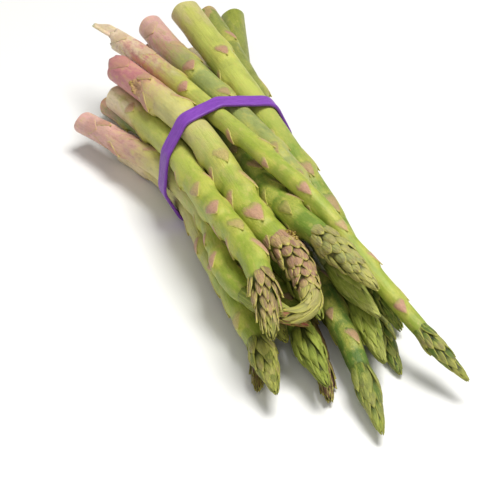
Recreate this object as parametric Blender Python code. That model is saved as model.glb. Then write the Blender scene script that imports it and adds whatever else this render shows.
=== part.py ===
"""A bunch of green asparagus, lying down and tied round the middle with a flat rubber band.

Each spear is one solid: a tapering stem with its triangular scales and its head of
overlapping scales.  The spears lie along +X, from their cut ends to their heads.
A short list of route points gives where each spear is wanted; settle_spears() then
presses the round sections apart, down to the surface and into the band's loop.
Lengths in the tables are millimetres; the meshes are made in metres.
"""
from collections import namedtuple

import bmesh
import bpy
import numpy as np

MM = 0.001

# The rubber band
BAND_X = -14.0
BAND_WIDTH = 6.5
BAND_THICKNESS = 1.1
BAND_GAP = 0.35
BAND_LEAN = -0.12
BAND_YAW = -0.10
BAND_PIVOT = (-1.8, 20.6)
BAND_ANGLES = 44
BAND_REACH = 6.5
FLAT_BELOW = 0.4
FLOOR_SPREAD = 12.0

# Stations along X where the sections are settled
STATION_START = -132.0
STATION_END = 136.0
STATION_STEP = 4.0
CLEARANCE = 0.5
MOST_SLOPE = 1.3

# Rounds of settling: first loose and smooth, drawn back to the wanted routes, then tight
SETTLE_ROUNDS = 900
TIGHT_ROUNDS = 260
LOOSE_PUSH = 0.8
LOOSE_SMOOTHING = 0.25
LOOSE_HOLD = 0.985
TIGHT_PUSH = 0.9
TIGHT_SMOOTHING = 0.08

# The route's inner knots, between the cut end and the tip
MIDDLE_X = 28.0
FORE_X = 62.0
FORE_BACK = 8.0

# The head's outline: how blunt and how round it closes, and where and how widely it bulges
HEAD_BLUNT = 2.5
HEAD_ROUND = 0.64
BULGE_PLACE = 0.6
BULGE_WIDTH = 0.28

# Rings of the mesh
SIDES = 9
HEAD_RINGS = 11
HEAD_CLOSING = 1.15
VALLEY = 0.80
SCALE_FORWARD = 0.42
STEM_SCALE_LIFT = 0.9
STEM_SCALE_LENGTH = 7.6
STEM_SCALE_STEP = 1.0
STEM_SCALES = 14
FIRST_SCALE = 3.0
SCALE_SPACING = 0.6
SCALE_SPACING_GROWTH = 1.42
SCALE_TURN = 3.6
BAND_CLEAR = 8.0
CUT_CLEAR = 9.0
LONGEST_SPAN = 14.0

Spear = namedtuple(
    "Spear",
    "name butt band middle fore tip butt_radius neck_radius head swell turn colour",
)

GREEN = (0.36, 0.47, 0.12)
LIGHT_GREEN = (0.45, 0.55, 0.17)
DEEP_GREEN = (0.22, 0.34, 0.07)
TAN_GREEN = (0.45, 0.43, 0.22)
BAND_PURPLE = (0.24, 0.09, 0.50)
SPEAR_ROUGHNESS = 0.5
BAND_ROUGHNESS = 0.55
SMOOTH_ANGLE = 0.6

SPEARS = (
    Spear("spear_left_pink_butt", (-73, -35, 9.5), (-20, 16.5), (-21.5, 19), (-24.5, 17.5),
          (84, -11.5, 17), 4.0, 3.5, 25, 1.10, 0, LIGHT_GREEN),
    Spear("spear_left_outer", (-58, -26, 4.2), (-17, 9), (-22, 11), (-24, 11),
          (100, -29.3, 8), 4.0, 3.5, 27, 1.28, 4, GREEN),
    Spear("spear_left_low", (-71, -10, 3.2), (-10, 6), (-16, 3.5), (-21, 3.0),
          (89, -31.5, 2.4), 3.2, 2.6, 20, 1.05, 2, TAN_GREEN),
    Spear("spear_left_inner", (-90, -21, 5.5), (-12, 15), (-14.5, 13.5), (-16.5, 12.5),
          (80, -17, 11), 3.6, 3.3, 26, 1.15, 6, DEEP_GREEN),
    Spear("spear_left_front", (-74, -21.5, 19), (-18.5, 25), (-20, 28), (-20.5, 26.5),
          (91, -27, 19.5), 4.6, 3.9, 26, 1.12, 1, LIGHT_GREEN),
    Spear("spear_top_thick", (-77, -18, 27), (-13.5, 32.5), (-10, 29.5), (-5.5, 25.5),
          (87, -11, 24.5), 4.9, 4.7, 40, 1.06, 3, LIGHT_GREEN),
    Spear("spear_centre_green", (-78, -11.5, 15), (-8, 22.5), (-8, 19), (-4, 15.5),
          (77, -4, 13), 4.7, 3.9, 28, 1.15, 8, DEEP_GREEN),
    Spear("spear_top_thin", (-112, -19.8, 28), (-4, 36), (-0.5, 36), (9.5, 23.5),
          (115, 26, 7), 3.7, 2.4, 24, 1.36, 3, LIGHT_GREEN),
    Spear("spear_right_scaly", (-99, -1, 30), (1, 33.5), (4.5, 31), (6.5, 17.5),
          (86, 11, 12.5), 4.5, 3.3, 30, 1.25, 7, GREEN),
    Spear("spear_right_bright", (-97, 12.5, 35.5), (11.5, 32), (9.8, 25), (9.5, 12.5),
          (98, 6, 8), 5.1, 3.6, 34, 1.20, 0, LIGHT_GREEN),
    Spear("spear_right_pale", (-105, 24, 28), (16, 23), (12.5, 12), (11.5, 8),
          (97, 9.3, 4), 4.0, 3.3, 32, 1.20, 4, DEEP_GREEN),
    Spear("spear_right_long", (-112, 37.5, 21.5), (9.5, 17), (4, 13), (4, 11),
          (124, -5.5, 4), 4.3, 3.1, 31, 1.28, 2, GREEN),
    Spear("spear_centre_wide_head", (-100, -0.5, 19.5), (-0.5, 26.5), (0.5, 27.5), (5.5, 29),
          (84, 12, 24), 4.0, 3.8, 29, 1.24, 6, GREEN),
    Spear("spear_right_slim", (-98, 14.5, 16), (7.5, 24.5), (7.5, 22.5), (11.5, 16.5),
          (88, 13.5, 9), 3.2, 2.7, 30, 1.20, 1, DEEP_GREEN),
    Spear("spear_low_wide_head", (-102, -4.5, 9.5), (-4.5, 12), (-7, 9.5), (-10.5, 8.5),
          (104, -15, 9), 4.0, 3.7, 34, 1.30, 5, GREEN),
    Spear("spear_low_middle", (-92, 2, 3.3), (-3, 4.6), (-3, 3.2), (-5, 2.9),
          (102, -14.5, 2.4), 3.2, 2.6, 22, 1.05, 8, TAN_GREEN),
    Spear("spear_low_right", (-101, 14, 4.2), (4, 5.6), (5, 4.2), (6, 3.8),
          (84, 6, 4), 4.2, 3.6, 30, 1.20, 3, GREEN),
    Spear("spear_low_far", (-89, 20.5, 4.5), (11.5, 8.5), (14.5, 4.5), (17, 3.8),
          (78, 17.5, 4), 3.9, 3.3, 30, 1.20, 7, DEEP_GREEN),
    Spear("spear_core", (-108, 9, 12), (0.5, 19), (0, 19.5), (0, 19),
          (46, 0, 19), 3.8, 3.2, 28, 1.15, 2, GREEN),
)

# The thickest spear's head curls to the left and a little down: where the curl starts, how
# long it is, its radius and angle, and how steeply it dips
CURLED = "spear_top_thick"
CURL_START = 80.0
CURL_LENGTH = 14.5
CURL_RADIUS = 5.0
CURL_ANGLE = 1.9
CURL_DROP = 0.35

# The thin top spear's cut end is torn and tapers to a strip
TORN = "spear_top_thin"
TORN_LENGTH = 26.0
TORN_RADIUS = 1.0


def natural_curve(knots, values, x):
    """Natural cubic spline through (knots, values), read at x; straight beyond the ends."""
    h = np.diff(knots)
    n = len(knots)
    system = np.eye(n)
    right = np.zeros((n, values.shape[1]))
    for k in range(1, n - 1):
        system[k, k - 1:k + 2] = h[k - 1], 2 * (h[k - 1] + h[k]), h[k]
        right[k] = 6 * ((values[k + 1] - values[k]) / h[k] - (values[k] - values[k - 1]) / h[k - 1])
    bend = np.linalg.solve(system, right)
    k = np.clip(np.searchsorted(knots, x) - 1, 0, n - 2)
    a = (knots[k + 1] - x)[:, None]
    b = (x - knots[k])[:, None]
    hk = h[k][:, None]
    inside = (bend[k] * a ** 3 + bend[k + 1] * b ** 3) / (6 * hk)
    inside += (values[k] / hk - bend[k] * hk / 6) * a + (values[k + 1] / hk - bend[k + 1] * hk / 6) * b
    return inside


def wanted_route(spear, x):
    """Y and Z of a spear's axis at x, before the spears are pressed apart."""
    fore_x = min(FORE_X, spear.tip[0] - FORE_BACK)
    knots = np.array([spear.butt[0], BAND_X, MIDDLE_X, fore_x, spear.tip[0]], float)
    values = np.array([spear.butt[1:], spear.band, spear.middle, spear.fore, spear.tip[1:]], float)
    return natural_curve(knots, values, np.clip(x, knots[0] - STATION_STEP, knots[-1] + STATION_STEP))


def outer_radius(spear, from_tip):
    """Radius over the scales at a distance back from the tip: a bud-shaped head, then a taper."""
    u = np.clip(from_tip / spear.head, 0, 1)
    bud = (1 - (1 - u) ** HEAD_BLUNT) ** HEAD_ROUND
    bulge = 1 + (spear.swell - 1) * np.exp(-((u - BULGE_PLACE) / BULGE_WIDTH) ** 2)
    length = spear.tip[0] - spear.butt[0]
    along = np.clip((from_tip - spear.head) / (length - spear.head), 0, 1.05)
    return (spear.neck_radius + (spear.butt_radius - spear.neck_radius) * along) * bud * bulge


def settle_spears():
    """Press the spears' round sections apart, station by station, and smooth along X.

    Returns the stations, the axis' Y and Z for each spear and station, the radii, and
    which stations each spear reaches.
    """
    x = np.arange(STATION_START, STATION_END + 0.01, STATION_STEP)
    wanted = np.stack([wanted_route(s, x) for s in SPEARS])
    radius = np.stack([outer_radius(s, np.maximum(s.tip[0] - x, 0)) for s in SPEARS])
    there = np.stack([(x >= s.butt[0] - STATION_STEP) & (x <= s.tip[0] + STATION_STEP) for s in SPEARS])
    both = there[:, None] & there[None]
    both[np.arange(len(SPEARS)), np.arange(len(SPEARS))] = False
    floor = (BAND_THICKNESS + BAND_GAP) * np.exp(-((x - BAND_X) / FLOOR_SPREAD) ** 4)
    joined_back = there & np.roll(there, 1, 1)
    joined_back[:, 0] = False
    joined_fore = there & np.roll(there, -1, 1)
    joined_fore[:, -1] = False
    axis = wanted.copy()
    for turn in range(SETTLE_ROUNDS):
        tight = turn >= SETTLE_ROUNDS - TIGHT_ROUNDS
        slope = np.gradient(axis, STATION_STEP, axis=1)
        wide = (radius + CLEARANCE) * np.sqrt(1 + np.minimum((slope ** 2).sum(-1), MOST_SLOPE))
        apart = axis[:, None] - axis[None]
        distance = np.sqrt((apart ** 2).sum(-1)) + 1e-9
        overlap = np.where(both, np.maximum(wide[:, None] + wide[None] - distance, 0), 0)
        push = (apart / distance[..., None] * overlap[..., None]).sum(1) * 0.5
        crowd = np.sqrt(np.maximum((overlap > 0).sum(1), 1))[..., None]
        offset = axis - wanted + push * (TIGHT_PUSH if tight else LOOSE_PUSH) / crowd
        if not tight:
            offset *= LOOSE_HOLD
        back = np.where(joined_back[..., None], np.roll(offset, 1, 1), offset)
        fore = np.where(joined_fore[..., None], np.roll(offset, -1, 1), offset)
        share = TIGHT_SMOOTHING if tight else LOOSE_SMOOTHING
        offset = offset * (1 - 2 * share) + share * (back + fore)
        axis = wanted + offset
        axis[..., 1] = np.maximum(axis[..., 1], wide - CLEARANCE + floor)
    return x, axis, radius, there


def spear_axis(spear, stations, axis, there):
    """The settled axis as a curve: returns a function giving (x, y, z) rows at x."""
    knots = stations[there]
    values = axis[there]

    def at(x):
        x = np.asarray(x, float)
        return np.column_stack([x, natural_curve(knots, values, x)])

    return at


def ring_places(spear):
    """Distances back from the tip of every ring, which of them carry a scale, and where.

    The head's rings close up towards the tip.  A stem scale takes three rings: its root,
    its raised point and, just beyond, the stem again.
    """
    head = spear.head * (1 - np.arange(HEAD_RINGS) / HEAD_RINGS) ** HEAD_CLOSING
    length = spear.tip[0] - spear.butt[0]
    stem = []
    place = spear.head + FIRST_SCALE
    gap = SCALE_SPACING
    for k in range(STEM_SCALES):
        root = place + STEM_SCALE_LENGTH
        x_root, x_point = spear.tip[0] - root, spear.tip[0] - place
        in_band = x_point > BAND_X - BAND_CLEAR and x_root < BAND_X + BAND_CLEAR
        if root < length - CUT_CLEAR and not in_band:
            side = (round(SCALE_TURN * k) + spear.turn) % SIDES
            stem.append((root, None))
            stem.append((place, side))
            stem.append((place - STEM_SCALE_STEP, None))
        place += STEM_SCALE_LENGTH + gap
        gap *= SCALE_SPACING_GROWTH
    ends = [(length, None)]
    if spear.name == TORN:
        ends.append((length - TORN_LENGTH / 2, None))
        ends.append((length - TORN_LENGTH, None))
    rows = sorted(ends + [row for row in stem if row[0] < ends[-1][0] - 2], key=lambda row: -row[0])
    filled = []
    for row, ahead in zip(rows, rows[1:] + [(head[0], None)]):
        spans = max(1, round((row[0] - ahead[0]) / LONGEST_SPAN))
        filled.append(row)
        filled += [(row[0] + (ahead[0] - row[0]) * k / spans, None) for k in range(1, spans)]
    return filled, head


def axis_frames(spear, at, from_tip):
    """Points on the axis and two directions square to it, at distances back from the tip.

    The curled head leaves the route at CURL_START and bends to the left and down,
    then runs straight to its point.
    """
    x = spear.tip[0] - np.asarray(from_tip, float)
    points = at(x)
    ahead = at(x + 0.5) - at(x - 0.5)
    if spear.name == CURLED:
        start = at([CURL_START])[0]
        way = (at([CURL_START]) - at([CURL_START - 1.0]))[0]
        way /= np.linalg.norm(way)
        left = np.array([way[1], -way[0], -CURL_DROP])
        left -= (left @ way) * way
        left /= np.linalg.norm(left)
        gone = np.clip((x - CURL_START) / (spear.tip[0] - CURL_START), 0, 1)[:, None] * CURL_LENGTH
        turned = np.minimum(gone / CURL_RADIUS, CURL_ANGLE)
        heading = np.cos(turned) * way + np.sin(turned) * left
        arc = start + CURL_RADIUS * (np.sin(turned) * way + (1 - np.cos(turned)) * left)
        arc = arc + (gone - CURL_RADIUS * turned) * heading
        on_arc = (x > CURL_START)[:, None]
        points = np.where(on_arc, arc, points)
        ahead = np.where(on_arc, heading, ahead)
    ahead /= np.linalg.norm(ahead, axis=1)[:, None]
    up = np.array([0.0, 0.0, 1.0]) - ahead[:, 2:3] * ahead
    up /= np.linalg.norm(up, axis=1)[:, None]
    across = np.cross(up, ahead)
    return points, ahead, across, up


def spear_vertices(spear, at):
    """Rings of SIDES points from the cut end to the tip, then the two end points.

    On the stem a point is lifted where a scale ends, and what would reach below the
    surface is pressed flat on it.  On the head the rings are turned half a side from one
    to the next, and every third point of the lattice is the tip of a scale: it keeps the
    full radius and leans forward, while the others sink between.
    """
    stem, head = ring_places(spear)
    from_tip = np.array([row[0] for row in stem] + list(head))
    points, ahead, across, up = axis_frames(spear, at, from_tip)
    radius = outer_radius(spear, from_tip)
    if spear.name == TORN:
        length = spear.tip[0] - spear.butt[0]
        whole = np.clip((length - from_tip) / TORN_LENGTH, 0, 1)
        radius = TORN_RADIUS + (radius - TORN_RADIUS) * whole
    count = len(from_tip)
    sides = np.arange(SIDES)
    turn = np.tile(sides, (count, 1)).astype(float)
    reach = np.tile(radius[:, None], (1, SIDES))
    lean = np.zeros((count, SIDES))
    for row, (place, side) in enumerate(stem):
        if side is not None:
            reach[row, side] += STEM_SCALE_LIFT
    first = len(stem)
    step = -np.gradient(head)
    for j in range(HEAD_RINGS):
        column = sides - (j - (j & 1)) // 2
        crest = (column - j) % 3 == 0
        turn[first + j] += 0.5 * (j & 1)
        shrink = VALLEY if j else 1.0
        reach[first + j] = np.where(crest, radius[first + j], radius[first + j] * shrink)
        lean[first + j] = np.where(crest & (j > 0), step[j] * SCALE_FORWARD, 0)
    angle = turn * 2 * np.pi / SIDES
    rings = points[:, None] + ahead[:, None] * lean[..., None]
    rings = rings + reach[..., None] * (
        np.cos(angle)[..., None] * across[:, None] + np.sin(angle)[..., None] * up[:, None])
    rings[..., 2] = np.maximum(rings[..., 2], 0)
    tip = axis_frames(spear, at, [0.0])[0]
    return rings, first, tip


def spear_mesh(spear, at, shift):
    """A closed mesh of one spear: quads along the stem, a staggered net over the head."""
    rings, first, tip = spear_vertices(spear, at)
    rings = (rings + shift) * MM
    tip = (tip + shift) * MM
    net = bmesh.new()
    grid = [[net.verts.new(p) for p in ring] for ring in rings]
    end = net.verts.new(tip[0])
    net.faces.new(grid[0])
    for j in range(len(grid) - 1):
        low, high = grid[j], grid[j + 1]
        for i in range(SIDES):
            n = (i + 1) % SIDES
            if j < first:
                net.faces.new((low[i], low[n], high[n], high[i]))
            elif (j - first) % 2 == 0:
                net.faces.new((low[i], low[n], high[i]))
                net.faces.new((low[n], high[n], high[i]))
            else:
                net.faces.new((low[i], high[n], high[i]))
                net.faces.new((low[i], low[n], high[n]))
    for i in range(SIDES):
        net.faces.new((grid[-1][i], grid[-1][(i + 1) % SIDES], end))
    bmesh.ops.triangulate(net, faces=[f for f in net.faces if len(f.verts) == 4])
    bmesh.ops.recalc_face_normals(net, faces=net.faces)
    mesh = bpy.data.meshes.new(spear.name)
    net.to_mesh(mesh)
    net.free()
    return mesh


def band_loop(stations, axis, radius, there):
    """The tight loop round the stems: for each direction, the stem that reaches furthest.

    Stems are read at the stations next to the band, so the loop clears them over its width.
    """
    near = np.abs(stations - BAND_X) <= BAND_REACH
    centres = axis[:, near].reshape(-1, 2)
    slope = np.gradient(axis, STATION_STEP, axis=1)[:, near].reshape(-1, 2)
    reach = (radius[:, near].reshape(-1) + BAND_GAP) * np.sqrt(1 + (slope ** 2).sum(1))
    centres, reach = centres[there[:, near].reshape(-1)], reach[there[:, near].reshape(-1)]
    angle = np.arange(BAND_ANGLES) * 2 * np.pi / BAND_ANGLES - np.pi / 2
    way = np.column_stack([np.cos(angle), np.sin(angle)])
    furthest = (centres @ way.T + reach[:, None]).argmax(0)
    loop = centres[furthest] + reach[furthest, None] * way
    return loop, way


def band_mesh(loop, way, shift):
    """A flat strip of rectangular section round the loop, leaning back a little at the top."""
    outer = loop + way * BAND_THICKNESS
    outer[outer[:, 1] < FLAT_BELOW, 1] = 0
    net = bmesh.new()
    corners = []
    for line, edge in ((loop, -0.5), (loop, 0.5), (outer, 0.5), (outer, -0.5)):
        x = BAND_X + edge * BAND_WIDTH
        x = x + BAND_YAW * (line[:, 0] - BAND_PIVOT[0]) + BAND_LEAN * (line[:, 1] - BAND_PIVOT[1])
        place = (np.column_stack([x, line]) + shift) * MM
        corners.append([net.verts.new(p) for p in place])
    for i in range(len(loop)):
        n = (i + 1) % len(loop)
        for c in range(4):
            d = (c + 1) % 4
            net.faces.new((corners[c][i], corners[c][n], corners[d][n], corners[d][i]))
    bmesh.ops.recalc_face_normals(net, faces=net.faces)
    mesh = bpy.data.meshes.new("rubber_band")
    net.to_mesh(mesh)
    net.free()
    return mesh


def finish(name, colour, roughness):
    """A plain material of the given colour."""
    material = bpy.data.materials.new(name)
    material.use_nodes = True
    shader = material.node_tree.nodes["Principled BSDF"]
    shader.inputs["Base Color"].default_value = (*colour, 1)
    shader.inputs["Roughness"].default_value = roughness
    shader.inputs["Metallic"].default_value = 0
    return material


def add_object(mesh, material):
    """Link a mesh as an object of its own name, shaded smooth up to an angle."""
    mesh.materials.append(material)
    mesh.shade_smooth()
    mesh.set_sharp_from_angle(angle=SMOOTH_ANGLE)
    bpy.context.scene.collection.objects.link(bpy.data.objects.new(mesh.name, mesh))


def build():
    """Settle the spears, tie them and set the whole bunch on the origin."""
    for thing in list(bpy.data.objects):
        bpy.data.objects.remove(thing, do_unlink=True)
    stations, axis, radius, there = settle_spears()
    curves = [spear_axis(s, stations, axis[i], there[i]) for i, s in enumerate(SPEARS)]
    loop, way = band_loop(stations, axis, radius, there)
    every = [spear_vertices(s, at) for s, at in zip(SPEARS, curves)]
    every = np.vstack([rings.reshape(-1, 3) for rings, _, _ in every] + [tip for _, _, tip in every])
    middle = (every.min(0) + every.max(0)) / 2
    shift = np.array([-middle[0], -middle[1], 0.0])
    for spear, at in zip(SPEARS, curves):
        add_object(spear_mesh(spear, at, shift), finish(spear.name, spear.colour, SPEAR_ROUGHNESS))
    add_object(band_mesh(loop, way, shift), finish("rubber_band", BAND_PURPLE, BAND_ROUGHNESS))


build()
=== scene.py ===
"""The looks of a bundle of green asparagus held by a wide purple rubber band.

Each spear is one mesh of closed shells: a round stem with a cut end, thin triangular bracts
that clasp it, and a head of overlapping scales. The spears follow the routes of the solids,
settled here by the same rules. Lengths inside the shape functions are millimetres.
"""
import functools
from collections import namedtuple
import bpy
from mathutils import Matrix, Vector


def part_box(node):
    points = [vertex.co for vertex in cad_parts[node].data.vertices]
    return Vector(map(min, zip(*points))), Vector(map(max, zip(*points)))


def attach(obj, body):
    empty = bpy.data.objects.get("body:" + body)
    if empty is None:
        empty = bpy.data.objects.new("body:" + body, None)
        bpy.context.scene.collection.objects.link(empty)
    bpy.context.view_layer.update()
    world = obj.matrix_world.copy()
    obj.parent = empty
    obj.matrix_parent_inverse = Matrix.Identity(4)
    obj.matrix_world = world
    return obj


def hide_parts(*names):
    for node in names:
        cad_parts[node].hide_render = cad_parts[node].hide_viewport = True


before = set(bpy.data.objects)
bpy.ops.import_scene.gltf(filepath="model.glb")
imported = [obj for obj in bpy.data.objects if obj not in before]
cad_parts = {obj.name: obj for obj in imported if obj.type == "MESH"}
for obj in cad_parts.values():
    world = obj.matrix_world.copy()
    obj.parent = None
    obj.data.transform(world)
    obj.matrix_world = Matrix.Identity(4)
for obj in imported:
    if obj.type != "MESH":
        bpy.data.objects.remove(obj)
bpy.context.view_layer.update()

from types import SimpleNamespace

import bpy
import numpy as np
from bpy.props import FloatProperty, FloatVectorProperty, IntProperty, PointerProperty
from mathutils import Vector

bl_info = {
    "name": "Asparagus Bundle",
    "version": (1, 0, 0),
    "blender": (4, 5, 0),
    "location": "View3D > Sidebar > Asparagus",
    "description": "A bundle of green asparagus held by a wide rubber band",
    "category": "Add Mesh",
}

MM = 0.001

# The band: where it lies, how it leans and how it wraps the stems. From here to the end of
# the table of spears every value is the solids' own, and the lengths are millimetres.
BAND_X = -14.0
BAND_THICKNESS = 1.1
BAND_GAP = 0.35
BAND_LEAN = -0.12
BAND_YAW = -0.10
BAND_PIVOT = (-1.8, 20.6)
BAND_ANGLES = 44
BAND_REACH = 6.5
FLAT_BELOW = 0.4
FLOOR_SPREAD = 12.0

# Stations along X where the sections are settled
STATION_START = -132.0
STATION_END = 136.0
STATION_STEP = 4.0
CLEARANCE = 0.5
MOST_SLOPE = 1.3

# Rounds of settling: first loose and smooth, drawn back to the wanted routes, then tight
SETTLE_ROUNDS = 900
TIGHT_ROUNDS = 260
LOOSE_PUSH = 0.8
LOOSE_SMOOTHING = 0.25
LOOSE_HOLD = 0.985
TIGHT_PUSH = 0.9
TIGHT_SMOOTHING = 0.08

# The route's inner knots, between the cut end and the tip
MIDDLE_X = 28.0
FORE_X = 62.0
FORE_BACK = 8.0

# The head's outline: how blunt and how round it closes, and where and how widely it bulges
HEAD_BLUNT = 2.5
HEAD_ROUND = 0.64
BULGE_PLACE = 0.6
BULGE_WIDTH = 0.28

# The stem scales, set on the sides of the solids' stems
SIDES = 9
STEM_SCALE_LENGTH = 7.6
STEM_SCALES = 14
FIRST_SCALE = 3.0
SCALE_SPACING = 0.6
SCALE_SPACING_GROWTH = 1.42
SCALE_TURN = 3.6
BAND_CLEAR = 8.0
CUT_CLEAR = 9.0
TORN_CLEAR = 2.0

# The curled head leaves its route on an arc, and the torn spear ends in a strip
CURLED = "spear_top_thick"
CURL_START = 80.0
CURL_LENGTH = 14.5
CURL_RADIUS = 5.0
CURL_ANGLE = 1.9
CURL_DROP = 0.35
TORN = "spear_top_thin"
TORN_LENGTH = 26.0

# A spear: X, Y and Z of its cut end and its tip, and Y and Z where it passes the band and
# the two inner knots. Then its radius at the cut end and at the neck, its head's length and
# swell, and by how many sides its stem scales are turned.
Spear = namedtuple(
    "Spear",
    "name butt band middle fore tip butt_radius neck_radius head swell turn slot",
)

SPEARS = (
    Spear("spear_left_pink_butt", (-73, -35, 9.5), (-20, 16.5), (-21.5, 19), (-24.5, 17.5),
          (84, -11.5, 17), 4.0, 3.5, 25, 1.10, 0, "spear_light"),
    Spear("spear_left_outer", (-58, -26, 4.2), (-17, 9), (-22, 11), (-24, 11),
          (100, -29.3, 8), 4.0, 3.5, 27, 1.28, 4, "spear_green"),
    Spear("spear_left_low", (-71, -10, 3.2), (-10, 6), (-16, 3.5), (-21, 3.0),
          (89, -31.5, 2.4), 3.2, 2.6, 20, 1.05, 2, "spear_tan"),
    Spear("spear_left_inner", (-90, -21, 5.5), (-12, 15), (-14.5, 13.5), (-16.5, 12.5),
          (80, -17, 11), 3.6, 3.3, 26, 1.15, 6, "spear_deep"),
    Spear("spear_left_front", (-74, -21.5, 19), (-18.5, 25), (-20, 28), (-20.5, 26.5),
          (91, -27, 19.5), 4.6, 3.9, 26, 1.12, 1, "spear_light"),
    Spear("spear_top_thick", (-77, -18, 27), (-13.5, 32.5), (-10, 29.5), (-5.5, 25.5),
          (87, -11, 24.5), 4.9, 4.7, 40, 1.06, 3, "spear_light"),
    Spear("spear_centre_green", (-78, -11.5, 15), (-8, 22.5), (-8, 19), (-4, 15.5),
          (77, -4, 13), 4.7, 3.9, 28, 1.15, 8, "spear_deep"),
    Spear("spear_top_thin", (-112, -19.8, 28), (-4, 36), (-0.5, 36), (9.5, 23.5),
          (115, 26, 7), 3.7, 2.4, 24, 1.36, 3, "spear_light"),
    Spear("spear_right_scaly", (-99, -1, 30), (1, 33.5), (4.5, 31), (6.5, 17.5),
          (86, 11, 12.5), 4.5, 3.3, 30, 1.25, 7, "spear_green"),
    Spear("spear_right_bright", (-97, 12.5, 35.5), (11.5, 32), (9.8, 25), (9.5, 12.5),
          (98, 6, 8), 5.1, 3.6, 34, 1.20, 0, "spear_light"),
    Spear("spear_right_pale", (-105, 24, 28), (16, 23), (12.5, 12), (11.5, 8),
          (97, 9.3, 4), 4.0, 3.3, 32, 1.20, 4, "spear_deep"),
    Spear("spear_right_long", (-112, 37.5, 21.5), (9.5, 17), (4, 13), (4, 11),
          (124, -5.5, 4), 4.3, 3.1, 31, 1.28, 2, "spear_green"),
    Spear("spear_centre_wide_head", (-100, -0.5, 19.5), (-0.5, 26.5), (0.5, 27.5), (5.5, 29),
          (84, 12, 24), 4.0, 3.8, 29, 1.24, 6, "spear_green"),
    Spear("spear_right_slim", (-98, 14.5, 16), (7.5, 24.5), (7.5, 22.5), (11.5, 16.5),
          (88, 13.5, 9), 3.2, 2.7, 30, 1.20, 1, "spear_deep"),
    Spear("spear_low_wide_head", (-102, -4.5, 9.5), (-4.5, 12), (-7, 9.5), (-10.5, 8.5),
          (104, -15, 9), 4.0, 3.7, 34, 1.30, 5, "spear_green"),
    Spear("spear_low_middle", (-92, 2, 3.3), (-3, 4.6), (-3, 3.2), (-5, 2.9),
          (102, -14.5, 2.4), 3.2, 2.6, 22, 1.05, 8, "spear_tan"),
    Spear("spear_low_right", (-101, 14, 4.2), (4, 5.6), (5, 4.2), (6, 3.8),
          (84, 6, 4), 4.2, 3.6, 30, 1.20, 3, "spear_green"),
    Spear("spear_low_far", (-89, 20.5, 4.5), (11.5, 8.5), (14.5, 4.5), (17, 3.8),
          (78, 17.5, 4), 3.9, 3.3, 30, 1.20, 7, "spear_deep"),
    Spear("spear_core", (-108, 9, 12), (0.5, 19), (0, 19.5), (0, 19),
          (46, 0, 19), 3.8, 3.2, 28, 1.15, 2, "spear_green"),
)

# A head's scales: how many, how long as a share of the head, how wide in radians, how far
# their tips stand off in millimetres, how blunt they are, how deep the gaps between them
# are and how much they swell
Scales = namedtuple("Scales", "count long wide lift blunt gap puff",
                    defaults=(28, 0.34, 0.60, 0.20, 0.35, 0.24, 0.08))

# What each spear looks like: palette names from the cut end to the head's point and for the
# bracts, the share of the length that stays pale, the strength of the pink blush and how
# dry the scales are
Look = namedtuple("Look", "butt lower upper head tip bract pale blush brown scales")

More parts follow.
